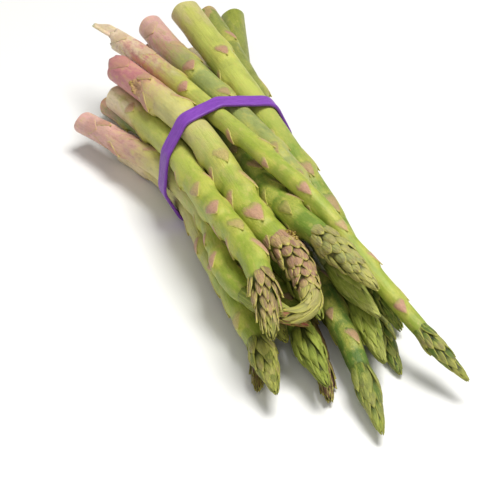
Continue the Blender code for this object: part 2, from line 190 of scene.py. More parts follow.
LOOKS = {
    "spear_left_pink_butt": Look(
        "pink", "straw_green", "light_green", "light_green", "rust", "rose_tan",
        pale=0.3, blush=0.65, brown=0.25, scales=Scales(count=24, long=0.4, wide=0.66, gap=0.2, puff=0.05)),
    "spear_left_outer": Look(
        "cream", "straw_green", "light_green", "olive", "olive", "rose_tan",
        pale=0.2, blush=0.2, brown=0.4,
        scales=Scales(count=36, long=0.38, wide=0.56, lift=0.12, blunt=0.5, gap=0.26, puff=0.13)),
    "spear_left_low": Look(
        "cream", "tan", "brown", "plum", "brown", "brown",
        pale=0.25, blush=0.4, brown=0.9,
        scales=Scales(count=24, long=0.5, wide=0.5, lift=0.7, blunt=0.1, gap=0.3, puff=0.04)),
    "spear_left_inner": Look(
        "rose_tan", "mid_green", "mid_green", "olive", "olive", "tan",
        pale=0.08, blush=0.6, brown=0.6, scales=Scales(lift=0.3, blunt=0.5, gap=0.26)),
    "spear_left_front": Look(
        "cream", "yellow_green", "light_green", "tan", "olive", "rose_tan",
        pale=0.18, blush=0.2, brown=0.9,
        scales=Scales(count=52, long=0.36, wide=0.36, lift=0.9, blunt=0.25, gap=0.32)),
    "spear_top_thick": Look(
        "blush", "straw_green", "light_green", "rose_tan", "cream_green", "rose_tan",
        pale=0.24, blush=0.85, brown=0.75,
        scales=Scales(count=74, long=0.21, wide=0.44, lift=0.12, blunt=0.8, puff=0.12)),
    "spear_centre_green": Look(
        "pink", "straw_green", "mid_green", "light_green", "light_green", "tan",
        pale=0.26, blush=0.9, brown=0.3, scales=Scales(count=26)),
    "spear_top_thin": Look(
        "cream", "yellow_green", "light_green", "mid_green", "olive", "rose_tan",
        pale=0.28, blush=1.0, brown=0.45,
        scales=Scales(long=0.32, wide=0.62, lift=0.1, blunt=0.45, gap=0.2, puff=0.09)),
    "spear_right_scaly": Look(
        "pink", "grey_green", "grey_green", "light_green", "yellow_green", "tan",
        pale=0.2, blush=0.62, brown=0.15,
        scales=Scales(count=26, long=0.62, wide=0.72, lift=0.25, blunt=0.2, gap=0.18, puff=0.05)),
    "spear_right_bright": Look(
        "straw_green", "yellow_green", "mid_green", "light_green", "yellow_green", "tan",
        pale=0.1, blush=0.15, brown=0.15,
        scales=Scales(count=36, long=0.5, wide=0.5, blunt=0.15, puff=0.06)),
    "spear_right_pale": Look(
        "tan", "olive_green", "sage", "mid_green", "mid_green", "tan",
        pale=0.05, blush=0.0, brown=0.45, scales=Scales(count=30, wide=0.58)),
    "spear_right_long": Look(
        "olive", "olive_green", "deep_green", "mid_green", "light_green", "tan",
        pale=0.05, blush=0.0, brown=0.45,
        scales=Scales(count=30, long=0.42, wide=0.62, lift=0.1, puff=0.11)),
    "spear_centre_wide_head": Look(
        "pink", "grey_green", "mid_green", "celadon", "cream_green", "tan",
        pale=0.2, blush=0.4, brown=0.6,
        scales=Scales(count=66, long=0.25, wide=0.46, lift=0.1, blunt=0.9, puff=0.13)),
    "spear_right_slim": Look(
        "cream", "mid_green", "deep_green", "mid_green", "mid_green", "tan",
        pale=0.12, blush=0.2, brown=0.4, scales=Scales(lift=0.4, gap=0.26)),
    "spear_low_wide_head": Look(
        "cream", "mid_green", "mid_green", "light_green", "light_green", "tan",
        pale=0.12, blush=0.2, brown=0.15,
        scales=Scales(count=36, long=0.42, wide=0.44, lift=0.12, blunt=0.15, gap=0.28)),
    "spear_low_middle": Look(
        "cream", "tan", "brown", "plum", "plum", "plum",
        pale=0.2, blush=0.3, brown=0.9,
        scales=Scales(count=24, long=0.5, wide=0.5, lift=0.8, blunt=0.1, gap=0.3, puff=0.04)),
    "spear_low_right": Look(
        "cream", "mid_green", "mid_green", "light_green", "light_green", "tan",
        pale=0.12, blush=0.2, brown=0.3, scales=Scales()),
    "spear_low_far": Look(
        "pink", "mid_green", "deep_green", "mid_green", "mid_green", "tan",
        pale=0.12, blush=0.4, brown=0.4, scales=Scales()),
    "spear_core": Look(
        "cream", "light_green", "light_green", "light_green", "light_green", "tan",
        pale=0.15, blush=0.3, brown=0.4, scales=Scales()),
}

# The first spear's random draws start from this number, the next one's from the next
FIRST_SEED = 100

# The stem's skin: ripples, the bud under a bract, the paler skin beside it, and smaller
# bracts between the solids' own. Places are millimetres back from a tip, turns are radians
# round the stem from the right over the top.
RIPPLES = 6
RIPPLE_GAIN = 1.6
BUD_REACH = 11.0
BUD_FULL = 2.0
BUD_FRONT = 1.2
BUD_RISE = 1.7
BUD_HALF = 0.72
HALO_FADE = 4.0
HALO_FRONT = 2.2
HALO_RISE = 1.4
HALO_HALF = 1.15
HALO_EDGE = 0.5
BETWEEN_TURN = 4.4
BETWEEN_SIZE = 0.8

# The cut end: its rings from the middle out, as a share of the radius and a depth, then
# how it slants. SEEN_TURN is the stems' upper left side.
SEEN_TURN = 2.08
CUT_RINGS = np.array([(0.03, 0.16), (0.35, 0.12), (0.70, 0.08), (0.90, 0.02), (0.97, 0.10), (1.0, 0.32)])
CUT_RIM = 0.5
SLANT_LEAST = 0.15
SLANT_MOST = 0.5
SLANT_FADE = 2.5
CUT_TILT = 0.16
CUT_WAVE = 0.05

# The stem's core inside the head
CORE_FROM = 1.02
CORE_OVER = 0.25
CORE_END = 0.9
CORE_POINT = 0.35

# The strip at the torn end, and the ragged edge behind it: height, count round and phase
STRIP_TURN = 0.6
STRIP_POINT = 0.35
STRIP_TAPER = 9.0
STRIP_HALF = 0.32
STRIP_SPREAD = 0.012
STRIP_CORE = 0.14
TEAR_FROM = 12.0
TEAR_SKEW = 1.6
TEAR_OVER = 3.0
TEAR_TEETH = ((0.9, 5, 1.0), (0.6, 11, 0.0))

# Bracts and flaps: rows along one, points over and under it, and how it lies on the stem
LEAF_ROWS = 15
LEAF_POINTS = (11, 5)
LEAF_PAST = 0.6
LEAF_ROOT = 0.8
LEAF_SWAY = 0.08
LEAF_WIDEST = 0.38
LEAF_TAPER = 0.68
LEAF_RAGGED = 0.04
LEAF_BOW = 0.10
LEAF_SUNK = 0.30
LEAF_COVER = 0.42
LEAF_HEM = 0.16
LEAF_WAVE = 0.05

# Papery flaps near the pink cut ends: from which blush on, how many, where, and how long,
# wide and strong against a bract
FLAP_BLUSH = 0.6
FLAPS = 4
FLAP_START = 12.0
FLAP_GAP = 6.5
FLAP_STEP = 1.8
FLAP_LONG = 0.9
FLAP_WIDE = 1.5
FLAP_STRENGTH = 0.45

# The heads' scales: rows along one and points over and under it, where it is widest, how
# high it lies as a share of the head's outline, and the least distance from the axis
SCALE_ROWS = np.array([0, 0.12, 0.26, 0.40, 0.53, 0.65, 0.76, 0.86, 0.94, 1.0])
SCALE_POINTS = (9, 3)
SCALE_WIDEST = 0.42
SCALE_HEIGHT = 0.90
LEAST_REACH = 0.06
GOLDEN_ANGLE = np.radians(137.508)

# The curled head's scales, loose from the bend on, frayed, wide and full in the tail behind it
CURL_BEND = 0.42
CURL_TAIL = 0.70
CURL_LOOSE = 0.55
CURL_FRAY = 0.5
CURL_FULL = 0.6
CURL_WIDE = 0.5

# The crumbly wound beside the curled head and the torn bract near its spear's cut end
OVAL = 1.2
WOUND_FROM_TIP = 34.0
WOUND_TURN = 0.9
WOUND_RADIUS = 2.3
CRUMBS = 34
CRUMB_SIDES = 6
CRUMB_ROWS = np.array([0, 0.4, 0.75, 1.0])
CRUMB_RADIUS = 0.50
CRUMB_SUNK = 0.3
PIT_FROM_TIP = 138.5
PIT_TURN = 2.7
PIT_DEPTH = 1.5
PIT_LENGTH = 2.8
PIT_WIDTH = 2.0

# The torn bract's rings from outside in, as radius, height and how torn each looks, and the
# cosines round its outline and its height: height, count round and phase
RIM_RINGS = np.array([(4.2, -0.6, 0.0), (3.8, 0.10, 0.2), (3.4, 0.75, 0.7), (3.0, 0.95, 1.0),
                      (2.5, 0.60, 0.9), (2.0, 0.0, 0.5), (1.2, -0.75, 0.35), (0.15, -1.2, 0.35)])
RIM_SIDES = 36
RIM_NARROW = 0.75
RIM_RAGGED = ((0.14, 3, 1.0), (0.10, 8, 0.0), (0.12, 2, 0.0))
RIM_HEIGHT = 0.35
RIM_UNEVEN = ((0.55, 1, -0.4), (0.30, 5, 0.5))

# The band's mesh: steps round the loop, rounds of softening its corners, points round its
# section, the powers that round the section, and how it wanders along X
BAND_STEPS = 360
BAND_SOFTENING = 6
BAND_SIDES = 32
BAND_FLAT = 0.28
BAND_ROUND = 0.5
BAND_WAIST = 0.10
BAND_WANDER = ((0.10, 0.33, 0.0), (0.07, 0.81, 1.0))
BAND_WIDER = 0.02
BAND_WIDER_PITCH = 0.21

# Colours that aren't settings, in linear light
PITH = (0.72, 0.70, 0.42)
PITH_RING = (0.42, 0.46, 0.16)
PITH_SPOT = (0.45, 0.36, 0.18)
CRUMB_LIGHT = (0.52, 0.40, 0.08)
CRUMB_DARK = (0.16, 0.08, 0.02)
RUBBER_DUST = (0.42, 0.30, 0.55)
FLOOR_SHADE = (0.8, 0.79, 0.77)

# How far the pattern is moved for a leaf's chance, so that no two leaves look alike
GRAIN_MOVE = (90, 31)

# The stage, in metres, and the camera's place and direction in millimetres of the routes
FLOOR_HALF = 3.0
AIM = (0, 0, 0.02)
KEY_PLACE = (0.1, 0.25, 1.05)
KEY_SIZE = 0.5
FILL_PLACE = (0.85, -0.45, 0.75)
FILL_SIZE = 0.8
CAMERA_PLACE = (498.4, -194.3, 345.0)
CAMERA_WAY = (-0.776, 0.304, -0.552)
SENSOR = 36.0
CLIP = (0.01, 20.0)


def screen(red, green, blue):
    """A colour given as 0 to 255 on a screen, as linear light."""
    value = np.array([red, green, blue]) / 255
    bright = ((value + 0.055) / 1.055) ** 2.4
    return tuple(float(x) for x in np.where(value > 0.04045, bright, value / 12.92))


def colour(name, words, default):
    """A colour property."""
    return FloatVectorProperty(name=name, description=words, default=screen(*default), size=3,
                               subtype="COLOR", min=0, max=1)


def length(name, words, default):
    """A length property, in metres."""
    return FloatProperty(name=name, description=words, default=default, unit="LENGTH", min=0)


def share(name, words, default, most=1.0):
    """A plain number property, from 0 up to a limit."""
    return FloatProperty(name=name, description=words, default=default, min=0, max=most)


class StemSizes(bpy.types.PropertyGroup):
    """Sizes of the stems and the bracts on them."""
    sides: IntProperty(name="Sides", description="Points round a stem", default=36, min=8)
    ring_gap: length("Ring Gap", "Distance between the rings of a stem", 0.0012)
    plump: length("Plumpness", "How much fuller a stem is than its solid", 0.00022)
    uneven: share("Unevenness", "Share of the radius by which a stem is out of round", 0.034)
    bract_length: share("Bract Length", "From the root of a bract to its tip, in stem radii", 2.3, 5)
    bract_spread: FloatProperty(name="Bract Spread", description="Half the angle a bract clasps",
                                default=0.84, subtype="ANGLE", unit="ROTATION")
    bract_lift: length("Bract Lift", "How far a bract's tip stands off the stem", 0.00022)
    bud: share("Bud", "How far the stem swells under a bract's tip, in stem radii", 0.24)
    bract_thickness: length("Bract Thickness", "Thickness of a bract", 0.00028)


class HeadSizes(bpy.types.PropertyGroup):
    """Sizes of the heads' scales."""
    core: share("Core", "Radius of the head under its scales, as a share", 0.80)
    thickness: length("Scale Thickness", "Thickness of a head scale", 0.00045)
    uneven: share("Unevenness", "Random change in a scale's length", 0.14)


class BandSizes(bpy.types.PropertyGroup):
    """Size and colour of the rubber band."""
    width: length("Width", "Width of the band", 0.0065)
    thickness: length("Thickness", "Thickness of the band", 0.0011)
    tint: colour("Purple", "Colour of the rubber", (138, 74, 182))
    # Deep Purple colours the darker lines along the band and the painted shade along its rims
    shade: colour("Deep Purple", "Colour of the rubber where it is worn or folded", (96, 40, 140))


class SpearColours(bpy.types.PropertyGroup):
    """The palette that the spears share."""
    cream: colour("Cream", "Pale cut ends", (240, 224, 184))
    pink: colour("Pink", "Pink cut ends", (218, 176, 162))
    blush: colour("Blush", "Pink blush near the cut ends", (200, 128, 132))
    straw_green: colour("Straw Green", "Pale lower stems", (200, 194, 122))
    yellow_green: colour("Yellow Green", "Bright stems", (182, 188, 90))
    light_green: colour("Light Green", "Light upper stems", (152, 168, 60))
    mid_green: colour("Mid Green", "Green stems", (116, 141, 48))
    deep_green: colour("Deep Green", "Shaded slim stems", (88, 116, 44))
    grey_green: colour("Grey Green", "Dull stems", (150, 160, 92))
    sage: colour("Sage", "Pale green stems", (152, 164, 88))
    cream_green: colour("Cream Green", "Pale tips of scales", (206, 202, 114))
    olive_green: colour("Olive Green", "Dull slim stems", (134, 142, 66))
    celadon: colour("Celadon", "Pale round scales", (178, 182, 108))
    olive: colour("Olive", "Olive heads", (146, 155, 60))
    tan: colour("Tan", "Dry scales", (178, 152, 104))
    rose_tan: colour("Rose Tan", "Dry pink scales", (200, 156, 126))
    rust: colour("Rust", "Red-brown tip", (186, 96, 82))
    brown: colour("Brown", "Drying stems", (118, 92, 58))
    plum: colour("Plum", "Shrivelled tips", (104, 66, 60))
    # Rim is the pale papery edge of scales and bracts, partly a painted highlight there; it also tints the
    # stems' light flecks and dry patches
    rim: colour("Rim", "Thin light edges of scales and bracts", (204, 198, 92))


class StageSettings(bpy.types.PropertyGroup):
    """Floor, lights and camera."""
    floor: colour("Floor", "Colour of the floor", (240, 239, 236))
    lens: FloatProperty(name="Lens", description="Focal length in millimetres", default=133.2)
    key: FloatProperty(name="Key Light", description="Power of the large soft light", default=12.6)
    fill: FloatProperty(name="Fill Light", description="Power of the light from the front", default=4.8)
    sky: FloatProperty(name="Sky", description="Strength of the light from all round", default=0.18)


# Routes of the spears


def natural_curve(knots, values, x):
    """Natural cubic spline through (knots, values), read at x; straight beyond the ends."""
    h = np.diff(knots)
    n = len(knots)
    system = np.eye(n)
    right = np.zeros((n, values.shape[1]))
    for k in range(1, n - 1):
        system[k, k - 1:k + 2] = h[k - 1], 2 * (h[k - 1] + h[k]), h[k]
        right[k] = 6 * ((values[k + 1] - values[k]) / h[k] - (values[k] - values[k - 1]) / h[k - 1])
    bend = np.linalg.solve(system, right)
    k = np.clip(np.searchsorted(knots, x) - 1, 0, n - 2)
    a = (knots[k + 1] - x)[:, None]
    b = (x - knots[k])[:, None]
    hk = h[k][:, None]
    inside = (bend[k] * a ** 3 + bend[k + 1] * b ** 3) / (6 * hk)
    inside += (values[k] / hk - bend[k] * hk / 6) * a + (values[k + 1] / hk - bend[k + 1] * hk / 6) * b
    return inside


def wanted_route(spear, x):
    """Y and Z of a spear's axis at x, before the spears are pressed apart."""
    fore_x = min(FORE_X, spear.tip[0] - FORE_BACK)
    knots = np.array([spear.butt[0], BAND_X, MIDDLE_X, fore_x, spear.tip[0]], float)
    values = np.array([spear.butt[1:], spear.band, spear.middle, spear.fore, spear.tip[1:]], float)
    return natural_curve(knots, values, np.clip(x, knots[0] - STATION_STEP, knots[-1] + STATION_STEP))


def outer_radius(spear, from_tip):
    """Radius over the scales at a distance back from the tip: a bud-shaped head, then a taper."""
    u = np.clip(from_tip / spear.head, 0, 1)
    bud = (1 - (1 - u) ** HEAD_BLUNT) ** HEAD_ROUND
    bulge = 1 + (spear.swell - 1) * np.exp(-((u - BULGE_PLACE) / BULGE_WIDTH) ** 2)
    whole = spear.tip[0] - spear.butt[0]
    along = np.clip((from_tip - spear.head) / (whole - spear.head), 0, 1.05)
    return (spear.neck_radius + (spear.butt_radius - spear.neck_radius) * along) * bud * bulge


@functools.lru_cache(maxsize=None)
def settle_spears():
    """Press the spears' round sections apart, station by station, and smooth along X.

    Returns the stations, the axis' Y and Z for each spear and station, the radii, and
    which stations each spear reaches.
    """
    x = np.arange(STATION_START, STATION_END + 0.01, STATION_STEP)
    wanted = np.stack([wanted_route(s, x) for s in SPEARS])
    radius = np.stack([outer_radius(s, np.maximum(s.tip[0] - x, 0)) for s in SPEARS])
    there = np.stack([(x >= s.butt[0] - STATION_STEP) & (x <= s.tip[0] + STATION_STEP) for s in SPEARS])
    both = there[:, None] & there[None]
    both[np.arange(len(SPEARS)), np.arange(len(SPEARS))] = False
    floor = (BAND_THICKNESS + BAND_GAP) * np.exp(-((x - BAND_X) / FLOOR_SPREAD) ** 4)
    joined_back = there & np.roll(there, 1, 1)
    joined_back[:, 0] = False
    joined_fore = there & np.roll(there, -1, 1)
    joined_fore[:, -1] = False
    axis = wanted.copy()
    for turn in range(SETTLE_ROUNDS):
        tight = turn >= SETTLE_ROUNDS - TIGHT_ROUNDS
        slope = np.gradient(axis, STATION_STEP, axis=1)
        wide = (radius + CLEARANCE) * np.sqrt(1 + np.minimum((slope ** 2).sum(-1), MOST_SLOPE))
        apart = axis[:, None] - axis[None]
        distance = np.sqrt((apart ** 2).sum(-1)) + 1e-9
        overlap = np.where(both, np.maximum(wide[:, None] + wide[None] - distance, 0), 0)
        push = (apart / distance[..., None] * overlap[..., None]).sum(1) * 0.5
        crowd = np.sqrt(np.maximum((overlap > 0).sum(1), 1))[..., None]
        offset = axis - wanted + push * (TIGHT_PUSH if tight else LOOSE_PUSH) / crowd
        if not tight:
            offset *= LOOSE_HOLD
        back = np.where(joined_back[..., None], np.roll(offset, 1, 1), offset)
        fore = np.where(joined_fore[..., None], np.roll(offset, -1, 1), offset)
        part = TIGHT_SMOOTHING if tight else LOOSE_SMOOTHING
        offset = offset * (1 - 2 * part) + part * (back + fore)
        axis = wanted + offset
        axis[..., 1] = np.maximum(axis[..., 1], wide - CLEARANCE + floor)
    return x, axis, radius, there


def spear_axis(name):
    """The settled axis of one spear as a function giving (x, y, z) rows at x."""
    x, axis, _, there = settle_spears()
    row = [s.name for s in SPEARS].index(name)
    knots = x[there[row]]
    values = axis[row][there[row]]

    def at(place):
        place = np.asarray(place, float)
        return np.column_stack([place, natural_curve(knots, values, place)])

    return at


def axis_frames(spear, at, from_tip):
    """Points on the axis and three square directions, at distances back from the tip.

    The curled head leaves the route at CURL_START and bends to the left and down,
    then runs straight to its point.
    """
    x = spear.tip[0] - np.asarray(from_tip, float)
    points = at(x)
    ahead = at(x + 0.5) - at(x - 0.5)
    if spear.name == CURLED:
        start = at([CURL_START])[0]
        way = (at([CURL_START]) - at([CURL_START - 1.0]))[0]
        way /= np.linalg.norm(way)
        left = np.array([way[1], -way[0], -CURL_DROP])
        left -= (left @ way) * way
        left /= np.linalg.norm(left)
        gone = np.clip((x - CURL_START) / (spear.tip[0] - CURL_START), 0, 1.1)[:, None] * CURL_LENGTH
        turned = np.minimum(gone / CURL_RADIUS, CURL_ANGLE)
        heading = np.cos(turned) * way + np.sin(turned) * left
        arc = start + CURL_RADIUS * (np.sin(turned) * way + (1 - np.cos(turned)) * left)
        arc = arc + (gone - CURL_RADIUS * turned) * heading
        on_arc = (x > CURL_START)[:, None]
        points = np.where(on_arc, arc, points)
        ahead = np.where(on_arc, heading, ahead)
    ahead /= np.linalg.norm(ahead, axis=1)[:, None]
    up = np.array([0.0, 0.0, 1.0]) - ahead[:, 2:3] * ahead
    up /= np.linalg.norm(up, axis=1)[:, None]
    across = np.cross(up, ahead)
    return points, ahead, across, up


@functools.lru_cache(maxsize=None)
def stem_bracts(spear):
    """Rows of distance back from the tip, turn in radians and size for each bract's tip.

    Between two bracts of the solid a smaller one sits on the side that they leave bare.
    """
    whole = spear.tip[0] - spear.butt[0]
    end = whole - TORN_LENGTH if spear.name == TORN else whole
    place, gap = spear.head + FIRST_SCALE, SCALE_SPACING
    found = []
    for k in range(STEM_SCALES):
        side = (round(SCALE_TURN * k) + spear.turn) % SIDES
        turn = side * 2 * np.pi / SIDES
        between = place + (STEM_SCALE_LENGTH + gap) / 2
        for point, way, size in ((place, turn, 1.0), (between, turn + BETWEEN_TURN, BETWEEN_SIZE)):
            root = point + STEM_SCALE_LENGTH
            x_root, x_point = spear.tip[0] - root, spear.tip[0] - point
            in_band = x_point > BAND_X - BAND_CLEAR and x_root < BAND_X + BAND_CLEAR
            if root < min(whole - CUT_CLEAR, end - TORN_CLEAR) and not in_band:
                found.append((point, way, size))
        place += STEM_SCALE_LENGTH + gap
        gap *= SCALE_SPACING_GROWTH
    return np.array(found).reshape(-1, 3)


@functools.lru_cache(maxsize=None)
def band_outline():
    """The tight loop round the stems as Y and Z rows, for evenly spread directions."""
    x, axis, radius, there = settle_spears()
    near = np.abs(x - BAND_X) <= BAND_REACH
    centres = axis[:, near].reshape(-1, 2)
    slope = np.gradient(axis, STATION_STEP, axis=1)[:, near].reshape(-1, 2)
    reach = (radius[:, near].reshape(-1) + BAND_GAP) * np.sqrt(1 + (slope ** 2).sum(1))
    centres, reach = centres[there[:, near].reshape(-1)], reach[there[:, near].reshape(-1)]
    angle = ring(BAND_ANGLES) - np.pi / 2
    way = np.column_stack([np.cos(angle), np.sin(angle)])
    furthest = (centres @ way.T + reach[:, None]).argmax(0)
    return centres[furthest] + reach[furthest, None] * way, way


@functools.lru_cache(maxsize=None)
def bundle_shift():
    """From the routes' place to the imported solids': found by comparing the band's corners."""
    loop, way = band_outline()
    outer = loop + way * BAND_THICKNESS
    every = np.vstack([loop, outer])
    slant = BAND_YAW * (every[:, 0] - BAND_PIVOT[0]) + BAND_LEAN * (every[:, 1] - BAND_PIVOT[1])
    low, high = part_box("rubber_band")
    middle_x = BAND_X + (slant.min() + slant.max()) / 2
    middle_y = (every[:, 0].min() + every[:, 0].max()) / 2
    return np.array([(low.x + high.x) / 2 / MM - middle_x, (low.y + high.y) / 2 / MM - middle_y, 0.0])


# Shapes


def rise(value):
    """Smooth step from 0 to 1."""
    value = np.clip(value, 0, 1)
    return value * value * (3 - 2 * value)


def bell(value, half):
    """Bell curve: 1 in the middle, and about a third of it at the half width."""
    return np.exp(-(value / half) ** 2)


def ring(sides):
    """Angles evenly spread round a full turn."""
    return np.arange(sides) * 2 * np.pi / sides


def wrapped(angle):
    """The same angle between half a turn back and half a turn on."""
    return np.angle(np.exp(1j * angle))


def cosines(place, waves):
    """The sum of cosines along a place, each with a height, a pitch and a phase."""
    return sum(height * np.cos(pitch * place + phase) for height, pitch, phase in waves)


def each(rng, low, high, many):
    """A random number for each of many tubes, the same over its rows and sides."""
    return rng.uniform(low, high, (many, 1, 1))


def tubewise(*values):
    """Arrays with a value for each tube, shaped to spread over its rows and sides."""
    return [value[:, None, None] for value in values]


def tube_faces(tubes, rows, sides, first):
    """Quads between the rows of each closed tube, and a polygon over each of its two ends."""
    start = np.arange(tubes)[:, None, None] * rows * sides + first
    row = np.arange(rows - 1)[None, :, None] * sides
    side = np.arange(sides)[None, None]
    after = (side + 1) % sides
    quads = np.stack([start + row + side, start + row + after,
                      start + row + sides + after, start + row + sides + side], -1)
    cap = start[:, 0] + np.arange(sides)[None]
    ends = np.vstack([cap[:, ::-1], cap + (rows - 1) * sides])
    return quads.reshape(-1, 4).tolist() + ends.tolist()


def smooth_mesh(name, points, faces, attributes):
    """A smooth-shaded mesh from points in the routes' millimetres, moved to the solids' place.

    The attributes, numbers or vectors on its points, are what its material reads.
    """
    mesh = bpy.data.meshes.new(name)
    mesh.from_pydata(((points + bundle_shift()) * MM).tolist(), [], faces)
    mesh.polygons.foreach_set("use_smooth", np.ones(len(mesh.polygons), bool))
    for key, values in attributes.items():
        kind, field = ("FLOAT_VECTOR", "vector") if values.ndim == 2 else ("FLOAT", "value")
        slot = mesh.attributes.new(key, kind, "POINT")
        slot.data.foreach_set(field, values.astype(np.float32).ravel())
    mesh.update()
    return mesh


def add_object(name, data):
    """A new object that stands in the scene."""
    thing = bpy.data.objects.new(name, data)
    bpy.context.scene.collection.objects.link(thing)
    return thing


class Growth:
    """Gathers the parts of one spear: points, faces and what the material reads."""

    names = ("along", "tipward", "leaf", "edge", "chance", "bract", "scale", "cut", "gap", "wound", "halo")

    def __init__(self, spear, at):
        self.spear = spear
        self.at = at
        self.points, self.grain, self.faces = [], [], []
        self.values = {name: [] for name in self.names}
        self.count = 0

    def add(self, from_tip, angle, reach, lean=0.0, chance=0.5, **values):
        """Adds closed tubes, as arrays of shape (tubes, rows, sides).

        A point lies from_tip back along the axis, then reach away from it in the direction
        of the angle, then lean ahead. The other values are what the material reads there.
        """
        from_tip, angle, reach, lean, chance = np.broadcast_arrays(from_tip, angle, reach, lean, chance)
        whole = self.spear.tip[0] - self.spear.butt[0]
        values["chance"] = chance
        values["along"] = 1 - (from_tip - lean) / whole
        values["tipward"] = np.clip(1 - from_tip / self.spear.head, 0, 1)
        for name in self.names:
            self.values[name].append(np.broadcast_to(values.get(name, 0.0), from_tip.shape).ravel())
        self.faces += tube_faces(*from_tip.shape, self.count)
        self.count += from_tip.size
        from_tip, angle, reach, lean, chance = (a.ravel() for a in (from_tip, angle, reach, lean, chance))
        points, ahead, across, up = axis_frames(self.spear, self.at, from_tip)
        out = np.cos(angle)[:, None] * across + np.sin(angle)[:, None] * up
        self.points.append(points + reach[:, None] * out + lean[:, None] * ahead)
        move_along, move_across = GRAIN_MOVE
        self.grain.append(np.column_stack([
            from_tip - lean + chance * move_along,
            reach * np.cos(angle) + chance * move_across,
            reach * np.sin(angle)]))

    def finish(self, name):
        """Puts all that was gathered into one mesh, with nothing below the ground."""
        points = np.vstack(self.points)
        points[:, 2] = np.maximum(points[:, 2], 0.0)
        attributes = {key: np.concatenate(parts) for key, parts in self.values.items()}
        attributes["grain"] = np.vstack(self.grain)
        return add_object(name, smooth_mesh(name, points, self.faces, attributes))


def stem_reach(spear, place, angle, sizes, waves):
    """Distance of a stem's skin from its axis.

    It is the solid's taper times a sum of slow cosines, plus a bud under each bract: a bell
    curve round the stem that rises at the bract's tip and fades towards its root. Less a bell
    curve both ways, for the pit that the torn bract lies in.
    """
    place, angle = np.broadcast_arrays(place, angle)
    girth = outer_radius(spear, place)
    ripple = sum(np.cos(turns * angle + pitch * place + phase) for turns, pitch, phase in waves)
    reach = (girth + sizes.plump / MM) * (1 + sizes.uneven * ripple / len(waves) * RIPPLE_GAIN)
    for tip, turn, size in stem_bracts(spear):
        near = place - tip
        swell = rise((BUD_REACH - near) / (BUD_REACH - BUD_FULL)) * rise((near + BUD_FRONT) / BUD_RISE)
        reach = reach + sizes.bud * size ** 2 * girth * swell * bell(wrapped(angle - turn), BUD_HALF)
    if spear.name == CURLED:
        pit = bell(place - PIT_FROM_TIP, PIT_LENGTH) * bell((angle - PIT_TURN) * girth, PIT_WIDTH)
        reach = reach - PIT_DEPTH * pit
    return reach


def stem_halo(spear, place, angle):
    """How near a point of the stem is to a bract's edges, from 0 to 1: the skin is paler there."""
    place, angle = np.broadcast_arrays(place, angle)
    halo = np.zeros(place.shape)
    for tip, turn, _ in stem_bracts(spear):
        near = place - tip
        ends = rise((BUD_REACH - near) / HALO_FADE) * rise((near + HALO_FRONT) / HALO_RISE)
        sides = rise((HALO_HALF - np.abs(wrapped(angle - turn))) / HALO_EDGE)
        halo = np.maximum(halo, ends * sides)
    return halo


def torn_share(back, angle):
    """Share of its radius that the torn stem keeps, at a distance from its cut end.

    A strip on one side keeps most of it, as a bell curve round the stem that widens with the
    distance. Behind a ragged edge the whole stem closes up.
    """
    off = wrapped(angle - STRIP_TURN)
    strip = STRIP_POINT + (1 - STRIP_POINT) * rise(back / STRIP_TAPER)
    strip = strip * bell(off, STRIP_HALF + STRIP_SPREAD * back)
    closed = rise((back - TEAR_FROM - TEAR_SKEW * np.abs(off) - cosines(off, TEAR_TEETH)) / TEAR_OVER)
    return np.maximum(closed, np.maximum(strip, STRIP_CORE))


def cut_slant(spear, angle, rng):
    """How far the cut end's rim lies ahead: two tilts and a slow wave round it."""
    slant = rng.uniform(SLANT_LEAST, SLANT_MOST) * np.cos(angle - SEEN_TURN)
    slant = slant + CUT_TILT * np.cos(angle + rng.uniform(0, 6.28))
    return (slant + CUT_WAVE * np.cos(4 * angle + rng.uniform(0, 6))) * spear.butt_radius


def grow_stem(growth, sizes, head_sizes, waves, rng):
    """The stem: circles along the axis, closed by the cut end's rings and ending inside the head.

    From the head's root on, the circles narrow to the slim core that its scales grow from.
    """
    spear = growth.spear
    whole = spear.tip[0] - spear.butt[0]
    share_kept, depth = CUT_RINGS.T
    place = np.concatenate([whole - depth, np.arange(whole - CUT_RIM, CORE_END, -sizes.ring_gap / MM)])
    angle = ring(sizes.sides)
    place, factor = place[:, None], np.ones((len(place), 1))
    factor[:len(CUT_RINGS), 0] = share_kept
    head = rise((spear.head * CORE_FROM - place) / (spear.head * CORE_OVER))
    reach = stem_reach(spear, place, angle, sizes, waves) * (1 - head * (1 - head_sizes.core))
    if spear.name == TORN:
        reach = reach * torn_share(whole - place, angle)
    reach = reach * factor
    reach[-1] *= CORE_POINT
    lean = cut_slant(spear, angle, rng) * factor * np.exp(-np.maximum(whole - place, 0) / SLANT_FADE)
    in_cut = factor < 1
    # The head's core is marked as gap, and the skin paints shade there, for the dark between the scales
    growth.add(place[None], angle, reach[None], lean[None], cut=in_cut * 1.0, edge=in_cut * factor,
               gap=head, halo=stem_halo(spear, place, angle) * 0.6)


def shell_profile(over, under):
    """A flat closed section: points over the leaf from side to side, then back beneath it.

    Gives the points' places from -1 to 1 across the leaf, and 1 for each that lies beneath.
    """
    top = np.linspace(-1, 1, over)
    back = np.linspace(1, -1, under + 2)[1:-1] * 0.96
    return np.concatenate([top, back]), np.concatenate([np.zeros(over), np.ones(under)])


